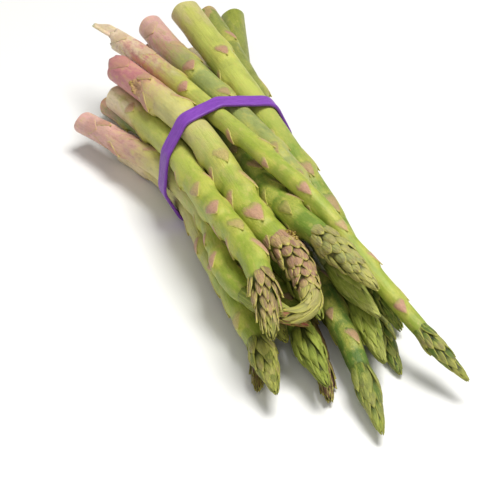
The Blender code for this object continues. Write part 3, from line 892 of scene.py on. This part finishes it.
def grow_leaves(growth, sizes, waves, rng, found, long=1.0, wide=1.0, strength=1.0):
    """Broad pointed leaves that lie on the stem, from rows of their tips' place, turn and size.

    The half width rises as the square root of the share of the length up to two fifths of
    it, then falls almost straight to the point. A leaf follows the skin, sinks into it at
    the root and along the hems, and lifts towards the tip as the fourth power of the share.
    """
    spear = growth.spear
    many = len(found)
    tip, turn, size = tubewise(*found.T)
    girth = outer_radius(spear, tip)
    tip = tip - LEAF_PAST
    turn = turn + rng.normal(0, LEAF_SWAY, (many, 1, 1))
    span = long * size * sizes.bract_length * girth * each(rng, 0.85, 1.2, many) + LEAF_ROOT
    u = np.linspace(0, 1, LEAF_ROWS)[None, :, None]
    v, beneath = shell_profile(*LEAF_POINTS)
    spread = wide * size * sizes.bract_spread * each(rng, 0.85, 1.15, many)
    ragged = LEAF_RAGGED * np.cos(23 * u + each(rng, 0, 6, many) + 2 * np.sign(v))
    back = np.sqrt(np.clip((u + 0.03) / LEAF_WIDEST, 0, 1))
    fore = np.clip((1.02 - u) / LEAF_TAPER, 0, 1)
    angle = turn + spread * back * fore * (1 + ragged) * v
    place = tip + span * (1 - u) * (1 + LEAF_BOW * v ** 2)
    skin = stem_reach(spear, np.maximum(place, tip + 0.9), angle, sizes, waves)
    lift = sizes.bract_lift / MM * each(rng, 0.4, 1.6, many) * u ** 4 * (1 - 0.5 * v ** 2)
    hem = LEAF_HEM * np.abs(v) ** 4 * (1 - u ** 4)
    cover = LEAF_COVER * rise(u / 0.25) - LEAF_SUNK + LEAF_WAVE * np.cos(7 * v + 3 * u + turn)
    reach = skin + cover - hem + lift - beneath * sizes.bract_thickness / MM
    growth.add(place, angle, reach, bract=strength, leaf=u, edge=np.abs(v), halo=1 - strength,
               chance=each(rng, 0, 1, many))


def grow_bracts(growth, look, sizes, waves, rng):
    """The stem's bracts and, on the spears with a pink foot, papery flaps near the cut end."""
    spear = growth.spear
    found = stem_bracts(spear)
    if len(found):
        grow_leaves(growth, sizes, waves, rng, found)
    if look.blush > FLAP_BLUSH:
        whole = spear.tip[0] - spear.butt[0] - (TORN_LENGTH / 2 if spear.name == TORN else 0)
        many = 1 if spear.name == CURLED else FLAPS
        back = FLAP_START + FLAP_GAP * np.arange(many) + rng.uniform(-1, 1, many)
        turn = SEEN_TURN + FLAP_STEP * np.arange(many) + rng.uniform(-0.3, 0.3, many)
        found = np.column_stack([whole - back, turn, np.ones(many)])
        grow_leaves(growth, sizes, waves, rng, found, FLAP_LONG, FLAP_WIDE, FLAP_STRENGTH)


def seat_scales(spear, scales, sizes, rng):
    """Each scale's place in the order, root, turn, length, half width and share in the first ring.

    The turn grows by the golden angle from one scale to the next. Towards the head's point
    the roots crowd and the scales get shorter and wider. The first ring's are the largest.
    """
    count = scales.count
    s = (np.arange(count) + 0.3) / count
    root = spear.head * (1.10 - 0.98 * s ** 0.86) + rng.normal(0, 0.35, count)
    turn = np.arange(count) * GOLDEN_ANGLE + spear.turn + rng.normal(0, 0.16, count)
    size = 0.55 + 0.45 * np.clip(root / spear.head, 0, 1) ** 0.7
    span = spear.head * scales.long * size * rng.uniform(1 - sizes.uneven, 1 + sizes.uneven, count)
    half = scales.wide * (1 + 0.50 * s ** 2) * rng.uniform(0.84, 1.18, count)
    first = 1 - rise(s / 0.16)
    span, half = span * (1 + 0.25 * first), half * (1 + 0.40 * first)
    span = np.minimum(span, root - rng.uniform(0.1, 0.9, count))
    return tubewise(s, root, turn, span, half, first)


def grow_head(growth, scales, sizes, rng):
    """The head's scales, each a closed leaf from its root inside the head to its free tip.

    A scale rises from the core to the head's outline over its first half, swells like a
    pillow where it shows, and falls off to both sides, so that dark creases stay between.
    Its outline is widest at two fifths of its length and closes in a point or a blunt end.
    From the bend on the curled head's scales stand off, and in its tail they are wider.
    """
    spear, count = growth.spear, scales.count
    s, root, turn, span, half, first = seat_scales(spear, scales, sizes, rng)
    curled = float(spear.name == CURLED)
    tail = curled * rise((s - CURL_TAIL) / 0.15)
    half = half * (1 + CURL_WIDE * tail)
    loose = curled * (CURL_LOOSE * rise((s - CURL_BEND) / 0.2) + CURL_FRAY * rise((s - 0.74) / 0.2))
    u = SCALE_ROWS[None, :, None]
    v, beneath = shell_profile(*SCALE_POINTS)
    blunt = scales.blunt * (1 - 0.8 * s) * (1 - 0.6 * first)
    puff = scales.puff * (1 - 0.7 * s) * (1 - 0.75 * first) * each(rng, 0.6, 1.3, count)
    far = np.clip((u - SCALE_WIDEST) / (1 - SCALE_WIDEST), 0, 1)
    outline = (1 - far ** (1.35 + 1.1 * blunt)) ** (1.0 - 0.42 * blunt) + 0.02
    outline = outline * (0.70 + 0.30 * rise(u / SCALE_WIDEST))
    bent = 0.10 * each(rng, -1, 1, count) * u ** 2
    place = root - span * u + 0.06 * span * v ** 2 * (1 - u)
    outer = outer_radius(spear, np.maximum(place, 0.20))
    core = 1 - scales.gap
    shingle = 0.15 * u * each(rng, 0.6, 1.4, count)
    ramp = np.sin(np.pi / 2 * np.clip(u / 0.5, 0, 1))
    pillow = puff * bell(u - 0.66, 0.30) * (1 - v ** 2)
    droop = (0.03 + 0.35 * puff) * np.abs(v) ** 3 * np.sin(np.pi * u) ** 0.6
    tuck = 0.13 * blunt * rise((u - 0.80) / 0.20)
    keel = 0.035 * (1 - blunt) * bell(v, 0.2) * u
    groove = 0.012 * np.cos(9 * v + each(rng, 0, 6, count)) * np.sin(np.pi * u)
    stand = (scales.lift * (1 - 0.5 * s) + loose) * each(rng, 0.2, 1.8, count)
    frill = 0.22 * scales.lift * np.cos(6 * v + 8 * u + each(rng, 0, 6, count))
    reach = core + (SCALE_HEIGHT - core) * ramp + shingle + pillow + keel + groove - droop - tuck
    reach = outer * reach + stand * u ** 2.5 + frill * u ** 2 - beneath * sizes.thickness / MM
    reach = np.maximum(reach + CURL_FULL * tail * np.sin(np.pi * u ** 0.7), LEAST_REACH)
    growth.add(place, turn + half * (outline * v + bent), reach, scale=1.0, leaf=u, edge=np.abs(v),
               chance=each(rng, 0, 1, count))


def grow_wound(growth, rng):
    """A crumbly torn spot: small blunt crumbs crowded on the stem, taller in the middle.

    A crumb's radius is the square root of one less most of its height's square.
    """
    spear = growth.spear
    away = WOUND_RADIUS * np.sqrt(rng.uniform(0, 1, CRUMBS))
    way = rng.uniform(0, 2 * np.pi, CRUMBS)
    place = WOUND_FROM_TIP + away * np.cos(way) * OVAL
    girth = outer_radius(spear, place)
    turn = WOUND_TURN + away * np.sin(way) / girth
    tall = 0.5 + 1.3 * bell(away, 1.6) * rng.uniform(0.6, 1.2, CRUMBS)
    place, girth, turn, tall = tubewise(place, girth, turn, tall)
    step = CRUMB_ROWS[None, :, None]
    wide = CRUMB_RADIUS * np.sqrt(1 - 0.85 * step ** 2)
    around = ring(CRUMB_SIDES)
    tilt = rng.normal(0, 0.35, (2, CRUMBS, 1, 1)) * tall * step
    growth.add(place + tilt[0] + wide * np.cos(around), turn + (tilt[1] + wide * np.sin(around)) / girth,
               girth - CRUMB_SUNK + tall * step, wound=1.0, chance=each(rng, 0, 1, CRUMBS))


def grow_torn_bract(growth):
    """A torn bract near the cut end: rings from its dry rim down into the pit.

    Their outline is an oval times a sum of cosines. The rim stands up by another such sum.
    """
    wide, tall, torn = RIM_RINGS.T[..., None]
    around = ring(RIM_SIDES)
    ragged = wide * (1 + cosines(around, RIM_RAGGED))
    place = PIT_FROM_TIP + ragged * np.cos(around) * OVAL
    girth = outer_radius(growth.spear, place)
    turn = PIT_TURN + RIM_NARROW * ragged * np.sin(around) / girth
    uneven = RIM_HEIGHT + cosines(around, RIM_UNEVEN)
    reach = girth + np.maximum(tall, 0) * np.maximum(uneven, 0.1) + np.minimum(tall, 0) + 0.15
    growth.add(place[None], turn[None], reach[None], bract=1.0, leaf=0.6, edge=0.3, chance=0.9,
               wound=torn * np.clip(uneven, 0, 1) * 0.9)


def rounded(value, power):
    """A sine or cosine raised to a power, with its sign kept."""
    return np.sign(value) * np.abs(value) ** power


def band_mesh(sizes):
    """The band: a flat section with rounded rims carried round the loop, leaning back a little.

    The loop is read at even steps and its corners are softened by averaging each point with
    its neighbours. Across the band and through it, the section is the cosine and the sine of
    a full turn, each raised to a power below one, and its waist is a little thinner.
    """
    loop, _ = band_outline()
    closed = np.vstack([loop, loop[:1]])
    gone = np.concatenate([[0], np.cumsum(np.linalg.norm(np.diff(closed, axis=0), axis=1))])
    girth = gone[-1]
    steps = ring(BAND_STEPS) / (2 * np.pi) * girth
    line = np.column_stack([np.interp(steps, gone, closed[:, k]) for k in (0, 1)])
    for _ in range(BAND_SOFTENING):
        line = 0.5 * line + 0.25 * (np.roll(line, 1, 0) + np.roll(line, -1, 0))
    way = np.roll(line, -1, 0) - np.roll(line, 1, 0)
    way /= np.linalg.norm(way, axis=1)[:, None]
    out = np.column_stack([way[:, 1], -way[:, 0]])
    turn = ring(BAND_SIDES)
    wide = rounded(np.cos(turn), BAND_FLAT) * sizes.width / MM / 2
    thick = rounded(np.sin(turn), BAND_ROUND) * sizes.thickness / MM / 2
    thick = thick * (1 - BAND_WAIST * np.cos(wide / wide.max() * np.pi)) + sizes.thickness / MM / 2
    section = line[:, None] + out[:, None] * thick[None, :, None]
    section[..., 1] = np.where(section[..., 1] < FLAT_BELOW, 0, section[..., 1])
    x = BAND_X + wide * (1 + BAND_WIDER * np.cos(steps * BAND_WIDER_PITCH))[:, None]
    x = x + cosines(steps, BAND_WANDER)[:, None]
    x = x + BAND_YAW * (line[:, :1] - BAND_PIVOT[0]) + BAND_LEAN * (line[:, 1:] - BAND_PIVOT[1])
    row, side = np.arange(BAND_STEPS)[:, None] * BAND_SIDES, np.arange(BAND_SIDES)[None]
    next_row, next_side = np.roll(row, -1), np.roll(side, -1)
    faces = np.stack([row + side, row + next_side, next_row + next_side, next_row + side], -1)
    around = ring(BAND_STEPS)[:, None]
    strip = np.stack(np.broadcast_arrays(girth * np.sin(around) / 3, wide, girth * np.cos(around) / 3), -1)
    rim = np.broadcast_to(np.abs(wide / wide.max()), x.shape)
    return smooth_mesh("purple_band", np.concatenate([x[..., None], section], -1).reshape(-1, 3),
                       faces.reshape(-1, 4).tolist(), {"strip": strip.reshape(-1, 3), "rim": rim.ravel()})


# Materials


class Wiring:
    """Short calls that add nodes to one tree and link what they are given."""

    def __init__(self, tree):
        self.tree = tree

    def put(self, socket, value):
        """Links an output to the socket, or sets the socket's value."""
        if isinstance(value, bpy.types.NodeSocket):
            self.tree.links.new(value, socket)
        elif hasattr(value, "__len__") and len(value) < len(socket.default_value):
            socket.default_value = (*value, 1.0)
        else:
            socket.default_value = value

    def fill(self, sockets, values):
        """Puts each value into the socket of its name."""
        for title, value in values.items():
            self.put(sockets[title], value)

    def node(self, kind, **settings):
        """A new node with these settings."""
        made = self.tree.nodes.new(kind)
        for key, value in settings.items():
            setattr(made, key, value)
        return made

    def read(self, name, vector=False):
        """What the mesh says at a point under a name."""
        made = self.node("ShaderNodeAttribute", attribute_name=name)
        return made.outputs["Vector" if vector else "Fac"]

    def noise(self, vector, scale, detail, rough=0.5):
        """A cloudy pattern from 0 to 1."""
        made = self.node("ShaderNodeTexNoise")
        self.fill(made.inputs, {"Vector": vector, "Scale": scale, "Detail": detail, "Roughness": rough})
        return made.outputs["Fac"]

    def stretch(self, vector, by):
        """A vector times another; a small factor draws a pattern out that way."""
        made = self.node("ShaderNodeVectorMath", operation="MULTIPLY")
        self.put(made.inputs[0], vector)
        self.put(made.inputs[1], by)
        return made.outputs[0]

    def span(self, value, low, high, to_low=0.0, to_high=1.0):
        """A smooth step from one value to another while the given one runs from low to high."""
        made = self.node("ShaderNodeMapRange", interpolation_type="SMOOTHSTEP")
        for socket, given in zip(made.inputs, (value, low, high, to_low, to_high)):
            self.put(socket, given)
        return made.outputs[0]

    def maths(self, operation, first, *others):
        """A sum, product or maximum of all the values, taken in order."""
        for other in others:
            made = self.node("ShaderNodeMath", operation=operation)
            self.put(made.inputs[0], first)
            self.put(made.inputs[1], other)
            first = made.outputs[0]
        return first

    def plus(self, *values):
        """The sum of the values."""
        return self.maths("ADD", *values)

    def times(self, *values):
        """The product of the values."""
        return self.maths("MULTIPLY", *values)

    def blend(self, factor, first, second):
        """The first colour at a factor of 0, the second at 1."""
        made = self.node("ShaderNodeMix", data_type="RGBA")
        for place, given in ((0, factor), (6, first), (7, second)):
            self.put(made.inputs[place], given)
        return made.outputs[2]

    def dim(self, tint, amount):
        """The colour times a grey."""
        made = self.node("ShaderNodeHueSaturation")
        self.fill(made.inputs, {"Value": amount, "Color": tint})
        return made.outputs[0]


def new_group(name, inputs, outputs):
    """An empty node group with named sockets of each kind, and the wiring to fill it."""
    tree = bpy.data.node_groups.new(name, "ShaderNodeTree")
    for way, kinds in (("INPUT", inputs), ("OUTPUT", outputs)):
        for kind, titles in kinds.items():
            for title in titles:
                tree.interface.new_socket(title, in_out=way, socket_type=kind)
    w = Wiring(tree)
    return tree, w, w.node("NodeGroupInput").outputs, w.node("NodeGroupOutput").inputs


# The skin's noises, as a share of the pattern's pace that is left along the stem, its
# scale, detail and roughness
NOISES = {
    "broad": (0.35, 0.28, 3, 0.5),
    "streak": (0.05, 1.5, 4, 0.6),
    "fleck": (0.6, 1.7, 3, 0.65),
    "fine": (0.3, 4.0, 3, 0.6),
    "patch": (0.5, 0.55, 5, 0.7),
    "lines": (0.10, 1.9, 3, 0.6),
}

# The skin group's colours, first those that each spear picks from the palette
OWN_COLOURS = ("Butt", "Lower", "Upper", "Head", "Tip", "Bract")
SKIN_INPUTS = {
    "NodeSocketColor": (*OWN_COLOURS, "Blush", "Rim"),
    "NodeSocketFloat": ("Pale Reach", "Blush Amount", "Brown"),
}
SKIN_OUTPUTS = {"NodeSocketColor": ("Color",), "NodeSocketFloat": ("Roughness", "Height")}


def skin_reads(w):
    """What the mesh says about a point of the skin, and the noises there."""
    reads = {name: w.read(name) for name in Growth.names}
    grain = w.read("grain", vector=True)
    for name, (along, scale, detail, rough) in NOISES.items():
        reads[name] = w.noise(w.stretch(grain, (along, 1, 1)), scale, detail, rough)
    return SimpleNamespace(**reads)


def stem_tint(w, given, skin):
    """The stem's colour, from the cut end to the head."""
    pale = given["Pale Reach"]
    drift = w.plus(skin.along, w.span(skin.broad, 0.25, 0.75, -0.07, 0.07))
    tint = w.blend(w.span(drift, w.times(pale, 0.35), pale), given["Butt"], given["Lower"])
    tint = w.blend(w.span(drift, 0.36, 0.66), tint, given["Upper"])
    # A mottled pink blush, strongest a little behind the cut end
    near = w.span(skin.along, w.times(pale, 0.6), w.plus(pale, 0.06), 1.0, 0.0)
    behind = w.span(skin.along, w.times(pale, 0.2), w.times(pale, 0.65), 0.35, 1.0)
    mottled = w.times(w.span(skin.broad, 0.25, 0.65, 0.45, 1.0), w.span(skin.patch, 0.60, 0.42, 0.35, 1.0))
    tint = w.blend(w.times(near, behind, mottled, given["Blush Amount"]), tint, given["Blush"])
    # Light and dark stretches, dry patches and dark ones
    tint = w.dim(tint, w.span(skin.broad, 0.3, 0.7, 0.88, 1.10))
    dry = w.blend(0.4, given["Rim"], given["Bract"])
    tint = w.blend(w.span(skin.patch, 0.50, 0.68, 0, 0.45), tint, dry)
    tint = w.blend(w.span(skin.patch, 0.48, 0.32, 0, 0.50), tint, w.dim(tint, 0.68))
    # Paler skin beside the bracts, dark streaks and light flecks
    papery = w.span(skin.along, w.times(pale, 0.5), pale, 0.85, 0.0)
    papery = w.blend(papery, given["Rim"], given["Butt"])
    tint = w.blend(w.times(skin.halo, w.span(skin.fleck, 0.3, 0.6, 0.35, 0.8)), tint, papery)
    tint = w.blend(w.span(skin.streak, 0.45, 0.75, 0, 0.22), tint, w.dim(tint, 0.68))
    return w.blend(w.span(skin.fleck, 0.56, 0.72, 0, 0.20), tint, given["Rim"])


def dry_tint(w, given, skin):
    """The colour of a dry bract or scale, pinker towards the cut end."""
    green = w.blend(0.5, given["Rim"], given["Upper"])
    dry = w.blend(w.span(skin.chance, 0.45, 1.0, 0, 0.55), given["Bract"], green)
    dry = w.blend(w.span(skin.fleck, 0.38, 0.62), dry, w.dim(dry, 0.80))
    pinker = w.plus(w.span(skin.chance, 0.6, 0.0, 0, 0.22), w.span(skin.along, 0.25, 0.6, 0.45, 0.0))
    return w.blend(pinker, dry, given["Blush"])


def scale_tint(w, given, skin, dry, rim):
    """A head scale's colour: dry towards its tip, lined along it, with light lines and rims that are partly
    a painted highlight, and painted shade at its root and side edges.
    """
    ripe = w.plus(skin.tipward, w.span(skin.broad, 0.3, 0.7, -0.1, 0.1))
    ripe = w.blend(w.span(ripe, 0.66, 0.80), given["Head"], given["Tip"])
    browned = w.span(w.plus(skin.leaf, w.span(skin.chance, 0, 1, -0.35, 0.25)), 0.25, 0.80)
    browned = w.times(browned, given["Brown"], w.span(skin.tipward, 0.68, 0.95, 1, 0.35))
    ripe = w.blend(browned, ripe, dry)
    ripe = w.dim(ripe, w.span(skin.chance, 0, 1, 0.68, 1.04))
    # Pale margin colour for the scales' light lines and rims, partly a painted highlight
    rim_and_highlight = w.blend(w.span(given["Brown"], 0.1, 0.8, 0.6, 0.1), given["Rim"], given["Upper"])
    ripe = w.blend(w.span(skin.lines, 0.42, 0.62, 0, 0.45), ripe, w.dim(ripe, 0.62))
    ripe = w.blend(w.span(skin.lines, 0.50, 0.36, 0, 0.50), ripe, rim_and_highlight)
    ripe = w.blend(w.times(rim, 0.75), ripe, rim_and_highlight)
    # Painted shade: the side edges tucked under the next scales, and the root under the scales before it
    ripe = w.dim(ripe, w.span(skin.edge, 0.88, 1.0, 1.0, 0.45))
    return w.dim(ripe, w.span(skin.leaf, 0.10, 0.50, 0.18, 1.0))


@functools.lru_cache(maxsize=None)
def skin_group():
    """The spears' skin: colour, roughness and height from where on the spear a point is.

    Bracts are dry in the middle with thin light rims, pale margins that are partly a painted
    highlight, and fade into the stem at the root. Between the scales the gaps get painted shade.
    """
    tree, w, given, result = new_group("asparagus_skin", SKIN_INPUTS, SKIN_OUTPUTS)
    skin = skin_reads(w)
    dry = dry_tint(w, given, skin)
    ragged = w.plus(skin.leaf, w.span(skin.fleck, 0.3, 0.7, -0.08, 0.08))
    on_bract = w.times(skin.bract, w.span(ragged, 0.10, 0.42))
    rim = w.maths("MAXIMUM", w.span(skin.edge, 0.66, 0.90), w.span(skin.leaf, 0.84, 0.97))
    middle = w.times(on_bract, w.span(skin.edge, 0.9, 0.6, 0.45, 0.92))
    tint = w.blend(middle, stem_tint(w, given, skin), dry)
    # The bracts' pale papery rims, partly a painted highlight along their edges
    tint = w.blend(w.times(on_bract, rim, 0.60), tint, given["Rim"])
    tint = w.blend(skin.scale, tint, scale_tint(w, given, skin, dry, rim))
    # Painted shade: the head's core, seen in the gaps between the scales, darkens to a fifth of the tip
    # colour
    tint = w.blend(w.span(skin.gap, 0.5, 1.0), tint, w.dim(given["Tip"], 0.20))
    # The cut end and the torn spot
    pith = w.blend(w.span(skin.edge, 0.72, 0.95), PITH, PITH_RING)
    pith = w.blend(w.span(skin.fleck, 0.5, 0.7, 0, 0.6), pith, PITH_SPOT)
    tint = w.blend(skin.cut, tint, pith)
    tint = w.blend(skin.wound, tint, w.blend(w.span(skin.fleck, 0.4, 0.6), CRUMB_LIGHT, CRUMB_DARK))
    rough = w.plus(w.span(skin.fleck, 0.2, 0.8, 0.40, 0.56),
                   w.times(w.maths("MAXIMUM", on_bract, skin.scale), 0.10))
    height = w.plus(w.times(skin.streak, 0.6), w.times(skin.fine, 0.2), w.times(skin.fleck, 0.3),
                    w.times(skin.scale, skin.lines, 1.6))
    w.fill(result, {"Color": tint, "Roughness": rough, "Height": height})
    return tree


def new_surface(name):
    """A new material, the wiring to fill it and its shader's inputs."""
    material = bpy.data.materials.new(name)
    material.use_nodes = True
    return material, Wiring(material.node_tree), material.node_tree.nodes["Principled BSDF"].inputs


def coat(w, shader, tint, rough, height, strength, depth):
    """Gives a shader its colour, its roughness and bumps, whose depth is in metres."""
    bump = w.node("ShaderNodeBump")
    w.fill(bump.inputs, {"Strength": strength, "Distance": depth, "Height": height})
    w.fill(shader, {"Base Color": tint, "Roughness": rough, "Normal": bump.outputs["Normal"]})


def spear_material(spear, look, palette):
    """The skin group with this spear's own colours, on a soft, slightly waxy surface."""
    material, w, shader = new_surface("skin_" + spear.name)
    skin = w.node("ShaderNodeGroup", node_tree=skin_group())
    w.fill(skin.inputs, {title: getattr(palette, getattr(look, title.lower())) for title in OWN_COLOURS})
    w.fill(skin.inputs, {"Blush": palette.blush, "Rim": palette.rim})
    w.fill(skin.inputs, {"Pale Reach": look.pale, "Blush Amount": look.blush, "Brown": look.brown})
    coat(w, shader, *skin.outputs, 0.75, 0.0005)
    w.fill(shader, {"Subsurface Weight": 0.12, "Subsurface Radius": (0.8, 1.0, 0.25),
                    "Subsurface Scale": 0.0012, "Specular IOR Level": 0.42})
    return material


def band_material(sizes):
    """Purple rubber: faint darker lines along the strip, painted shade along both rims and a soft sheen."""
    material, w, shader = new_surface("purple_rubber")
    strip = w.read("strip", vector=True)
    lines = w.noise(w.stretch(strip, (0.15, 2.2, 0.15)), 1.2, 4, 0.6)
    dust = w.noise(strip, 1.8, 3, 0.6)
    tint = w.blend(w.span(lines, 0.35, 0.7, 0, 0.6), sizes.tint, sizes.shade)
    # Painted shade: the band darkens towards deep purple along both rims
    tint = w.blend(w.span(w.read("rim"), 0.82, 1.0, 0, 0.45), tint, sizes.shade)
    tint = w.blend(w.span(dust, 0.55, 0.75, 0, 0.18), tint, RUBBER_DUST)
    rough = w.span(dust, 0.3, 0.7, 0.40, 0.55)
    coat(w, shader, tint, rough, w.plus(lines, w.times(dust, 0.5)), 0.35, 0.0003)
    return material


# The pieces


def dress_spear(scene, name):
    """Builds one spear, gives it its skin and lets it stand for its solid."""
    row = [s.name for s in SPEARS].index(name)
    spear, look = SPEARS[row], LOOKS[name]
    rng = np.random.default_rng(FIRST_SEED + row)
    growth = Growth(spear, spear_axis(name))
    turns = rng.integers(1, 5, RIPPLES)
    waves = np.column_stack([turns, rng.uniform(0.02, 0.14, RIPPLES), rng.uniform(0, 6.28, RIPPLES)])
    stems, heads = scene.asparagus_stems, scene.asparagus_heads
    grow_stem(growth, stems, heads, waves, rng)
    grow_bracts(growth, look, stems, waves, rng)
    grow_head(growth, look.scales, heads, rng)
    if name == CURLED:
        grow_wound(growth, rng)
        grow_torn_bract(growth)
    thing = growth.finish(name.replace("spear_", "asparagus_"))
    thing.data.materials.append(spear_material(spear, look, scene.asparagus_colours))
    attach(thing, "root")
    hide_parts(name)


class SpearGroup:
    """Shared by the spears' operators: dresses every spear that is named after one of the words."""
    words = ()

    def execute(self, context):
        for word in self.words:
            for spear in SPEARS:
                if spear.name.startswith("spear_" + word):
                    dress_spear(context.scene, spear.name)
        return {"FINISHED"}


class ASPARAGUS_OT_left_spears(SpearGroup, bpy.types.Operator):
    """Build the spears on the left of the bundle"""
    bl_idname = "asparagus.left_spears"
    bl_label = "Left Spears"
    words = ("left",)


class ASPARAGUS_OT_top_spears(SpearGroup, bpy.types.Operator):
    """Build the spears on top and in the middle of the bundle"""
    bl_idname = "asparagus.top_spears"
    bl_label = "Top and Middle Spears"
    words = ("top", "centre", "core")


class ASPARAGUS_OT_right_spears(SpearGroup, bpy.types.Operator):
    """Build the spears on the right of the bundle"""
    bl_idname = "asparagus.right_spears"
    bl_label = "Right Spears"
    words = ("right",)


class ASPARAGUS_OT_low_spears(SpearGroup, bpy.types.Operator):
    """Build the spears in the bottom layer"""
    bl_idname = "asparagus.low_spears"
    bl_label = "Low Spears"
    words = ("low",)


class ASPARAGUS_OT_rubber_band(bpy.types.Operator):
    """Build the rubber band round the stems"""
    bl_idname = "asparagus.rubber_band"
    bl_label = "Rubber Band"

    def execute(self, context):
        sizes = context.scene.asparagus_band
        thing = add_object("purple_band", band_mesh(sizes))
        thing.data.materials.append(band_material(sizes))
        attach(thing, "root")
        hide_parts("rubber_band")
        return {"FINISHED"}


def lay_floor(tint):
    """A pale square floor, a little cloudy."""
    corners = [(x, y, 0) for x, y in ((-1, -1), (1, -1), (1, 1), (-1, 1))]
    mesh = bpy.data.meshes.new("floor")
    mesh.from_pydata([Vector(corner) * FLOOR_HALF for corner in corners], [], [(0, 1, 2, 3)])
    material, w, shader = new_surface("pale_floor")
    place = w.node("ShaderNodeTexCoord").outputs["Object"]
    cloudy = w.span(w.noise(place, 9.0, 3), 0.3, 0.7, 0, 0.04)
    w.fill(shader, {"Base Color": w.blend(cloudy, tint, FLOOR_SHADE), "Roughness": 0.8})
    mesh.materials.append(material)
    floor = add_object("floor", mesh)


def light_all_round(strength):
    """Even white light from all sides."""
    world = bpy.data.worlds.new("studio")
    world.use_nodes = True
    background = world.node_tree.nodes["Background"]
    Wiring(world.node_tree).fill(background.inputs, {"Color": (1.0, 1.0, 1.0), "Strength": strength})
    bpy.context.scene.world = world
    bpy.context.scene.view_settings.view_transform = "Standard"


def turned(way):
    """The turn that points a lamp or a camera along a direction."""
    return Vector(way).to_track_quat("-Z", "Y").to_euler()


def soft_light(name, place, size, power):
    """A large square lamp at a place, aimed at the bundle."""
    lamp = bpy.data.lights.new(name, "AREA")
    lamp.size = size
    lamp.energy = power
    thing = add_object(name, lamp)
    thing.location = place
    thing.rotation_euler = turned(Vector(AIM) - Vector(place))


def aim_camera(lens):
    """The camera, where the photograph was taken from."""
    camera = bpy.data.cameras.new("camera")
    camera.lens = lens
    camera.sensor_width = SENSOR
    camera.clip_start, camera.clip_end = CLIP
    thing = add_object("camera", camera)
    thing.location = (np.array(CAMERA_PLACE) + bundle_shift()) * MM
    thing.rotation_euler = turned(CAMERA_WAY)
    bpy.context.scene.camera = thing


class ASPARAGUS_OT_stage(bpy.types.Operator):
    """Set up the floor, the lights and the camera"""
    bl_idname = "asparagus.stage"
    bl_label = "Stage"

    def execute(self, context):
        stage = context.scene.asparagus_stage
        lay_floor(stage.floor)
        light_all_round(stage.sky)
        soft_light("key", KEY_PLACE, KEY_SIZE, stage.key)
        soft_light("fill", FILL_PLACE, FILL_SIZE, stage.fill)
        aim_camera(stage.lens)
        return {"FINISHED"}


OPERATORS = (
    ASPARAGUS_OT_left_spears, ASPARAGUS_OT_top_spears, ASPARAGUS_OT_right_spears,
    ASPARAGUS_OT_low_spears, ASPARAGUS_OT_rubber_band, ASPARAGUS_OT_stage,
)

SETTINGS = (
    ("asparagus_stems", StemSizes), ("asparagus_heads", HeadSizes), ("asparagus_band", BandSizes),
    ("asparagus_colours", SpearColours), ("asparagus_stage", StageSettings),
)


class ASPARAGUS_PT_panel(bpy.types.Panel):
    """Lists the steps and the settings of the bundle"""
    bl_idname = "ASPARAGUS_PT_panel"
    bl_label = "Asparagus Bundle"
    bl_space_type = "VIEW_3D"
    bl_region_type = "UI"
    bl_category = "Asparagus"

    def draw(self, context):
        for operator in OPERATORS:
            self.layout.operator(operator.bl_idname)
        for key, kind in SETTINGS:
            box = self.layout.box()
            for name in kind.__annotations__:
                box.prop(getattr(context.scene, key), name)


def register():
    """Registers the settings, the operators and the panel."""
    for key, kind in SETTINGS:
        bpy.utils.register_class(kind)
        setattr(bpy.types.Scene, key, PointerProperty(type=kind))
    for kind in (*OPERATORS, ASPARAGUS_PT_panel):
        bpy.utils.register_class(kind)


def unregister():
    """Takes away what register added."""
    for kind in (ASPARAGUS_PT_panel, *reversed(OPERATORS)):
        bpy.utils.unregister_class(kind)
    for key, kind in reversed(SETTINGS):
        delattr(bpy.types.Scene, key)
        bpy.utils.unregister_class(kind)


def main():
    """Builds every piece and the stage."""
    register()
    bpy.ops.asparagus.left_spears()
    bpy.ops.asparagus.top_spears()
    bpy.ops.asparagus.right_spears()
    bpy.ops.asparagus.low_spears()
    bpy.ops.asparagus.rubber_band()
    bpy.ops.asparagus.stage()


if __name__ == "__main__":
    main()
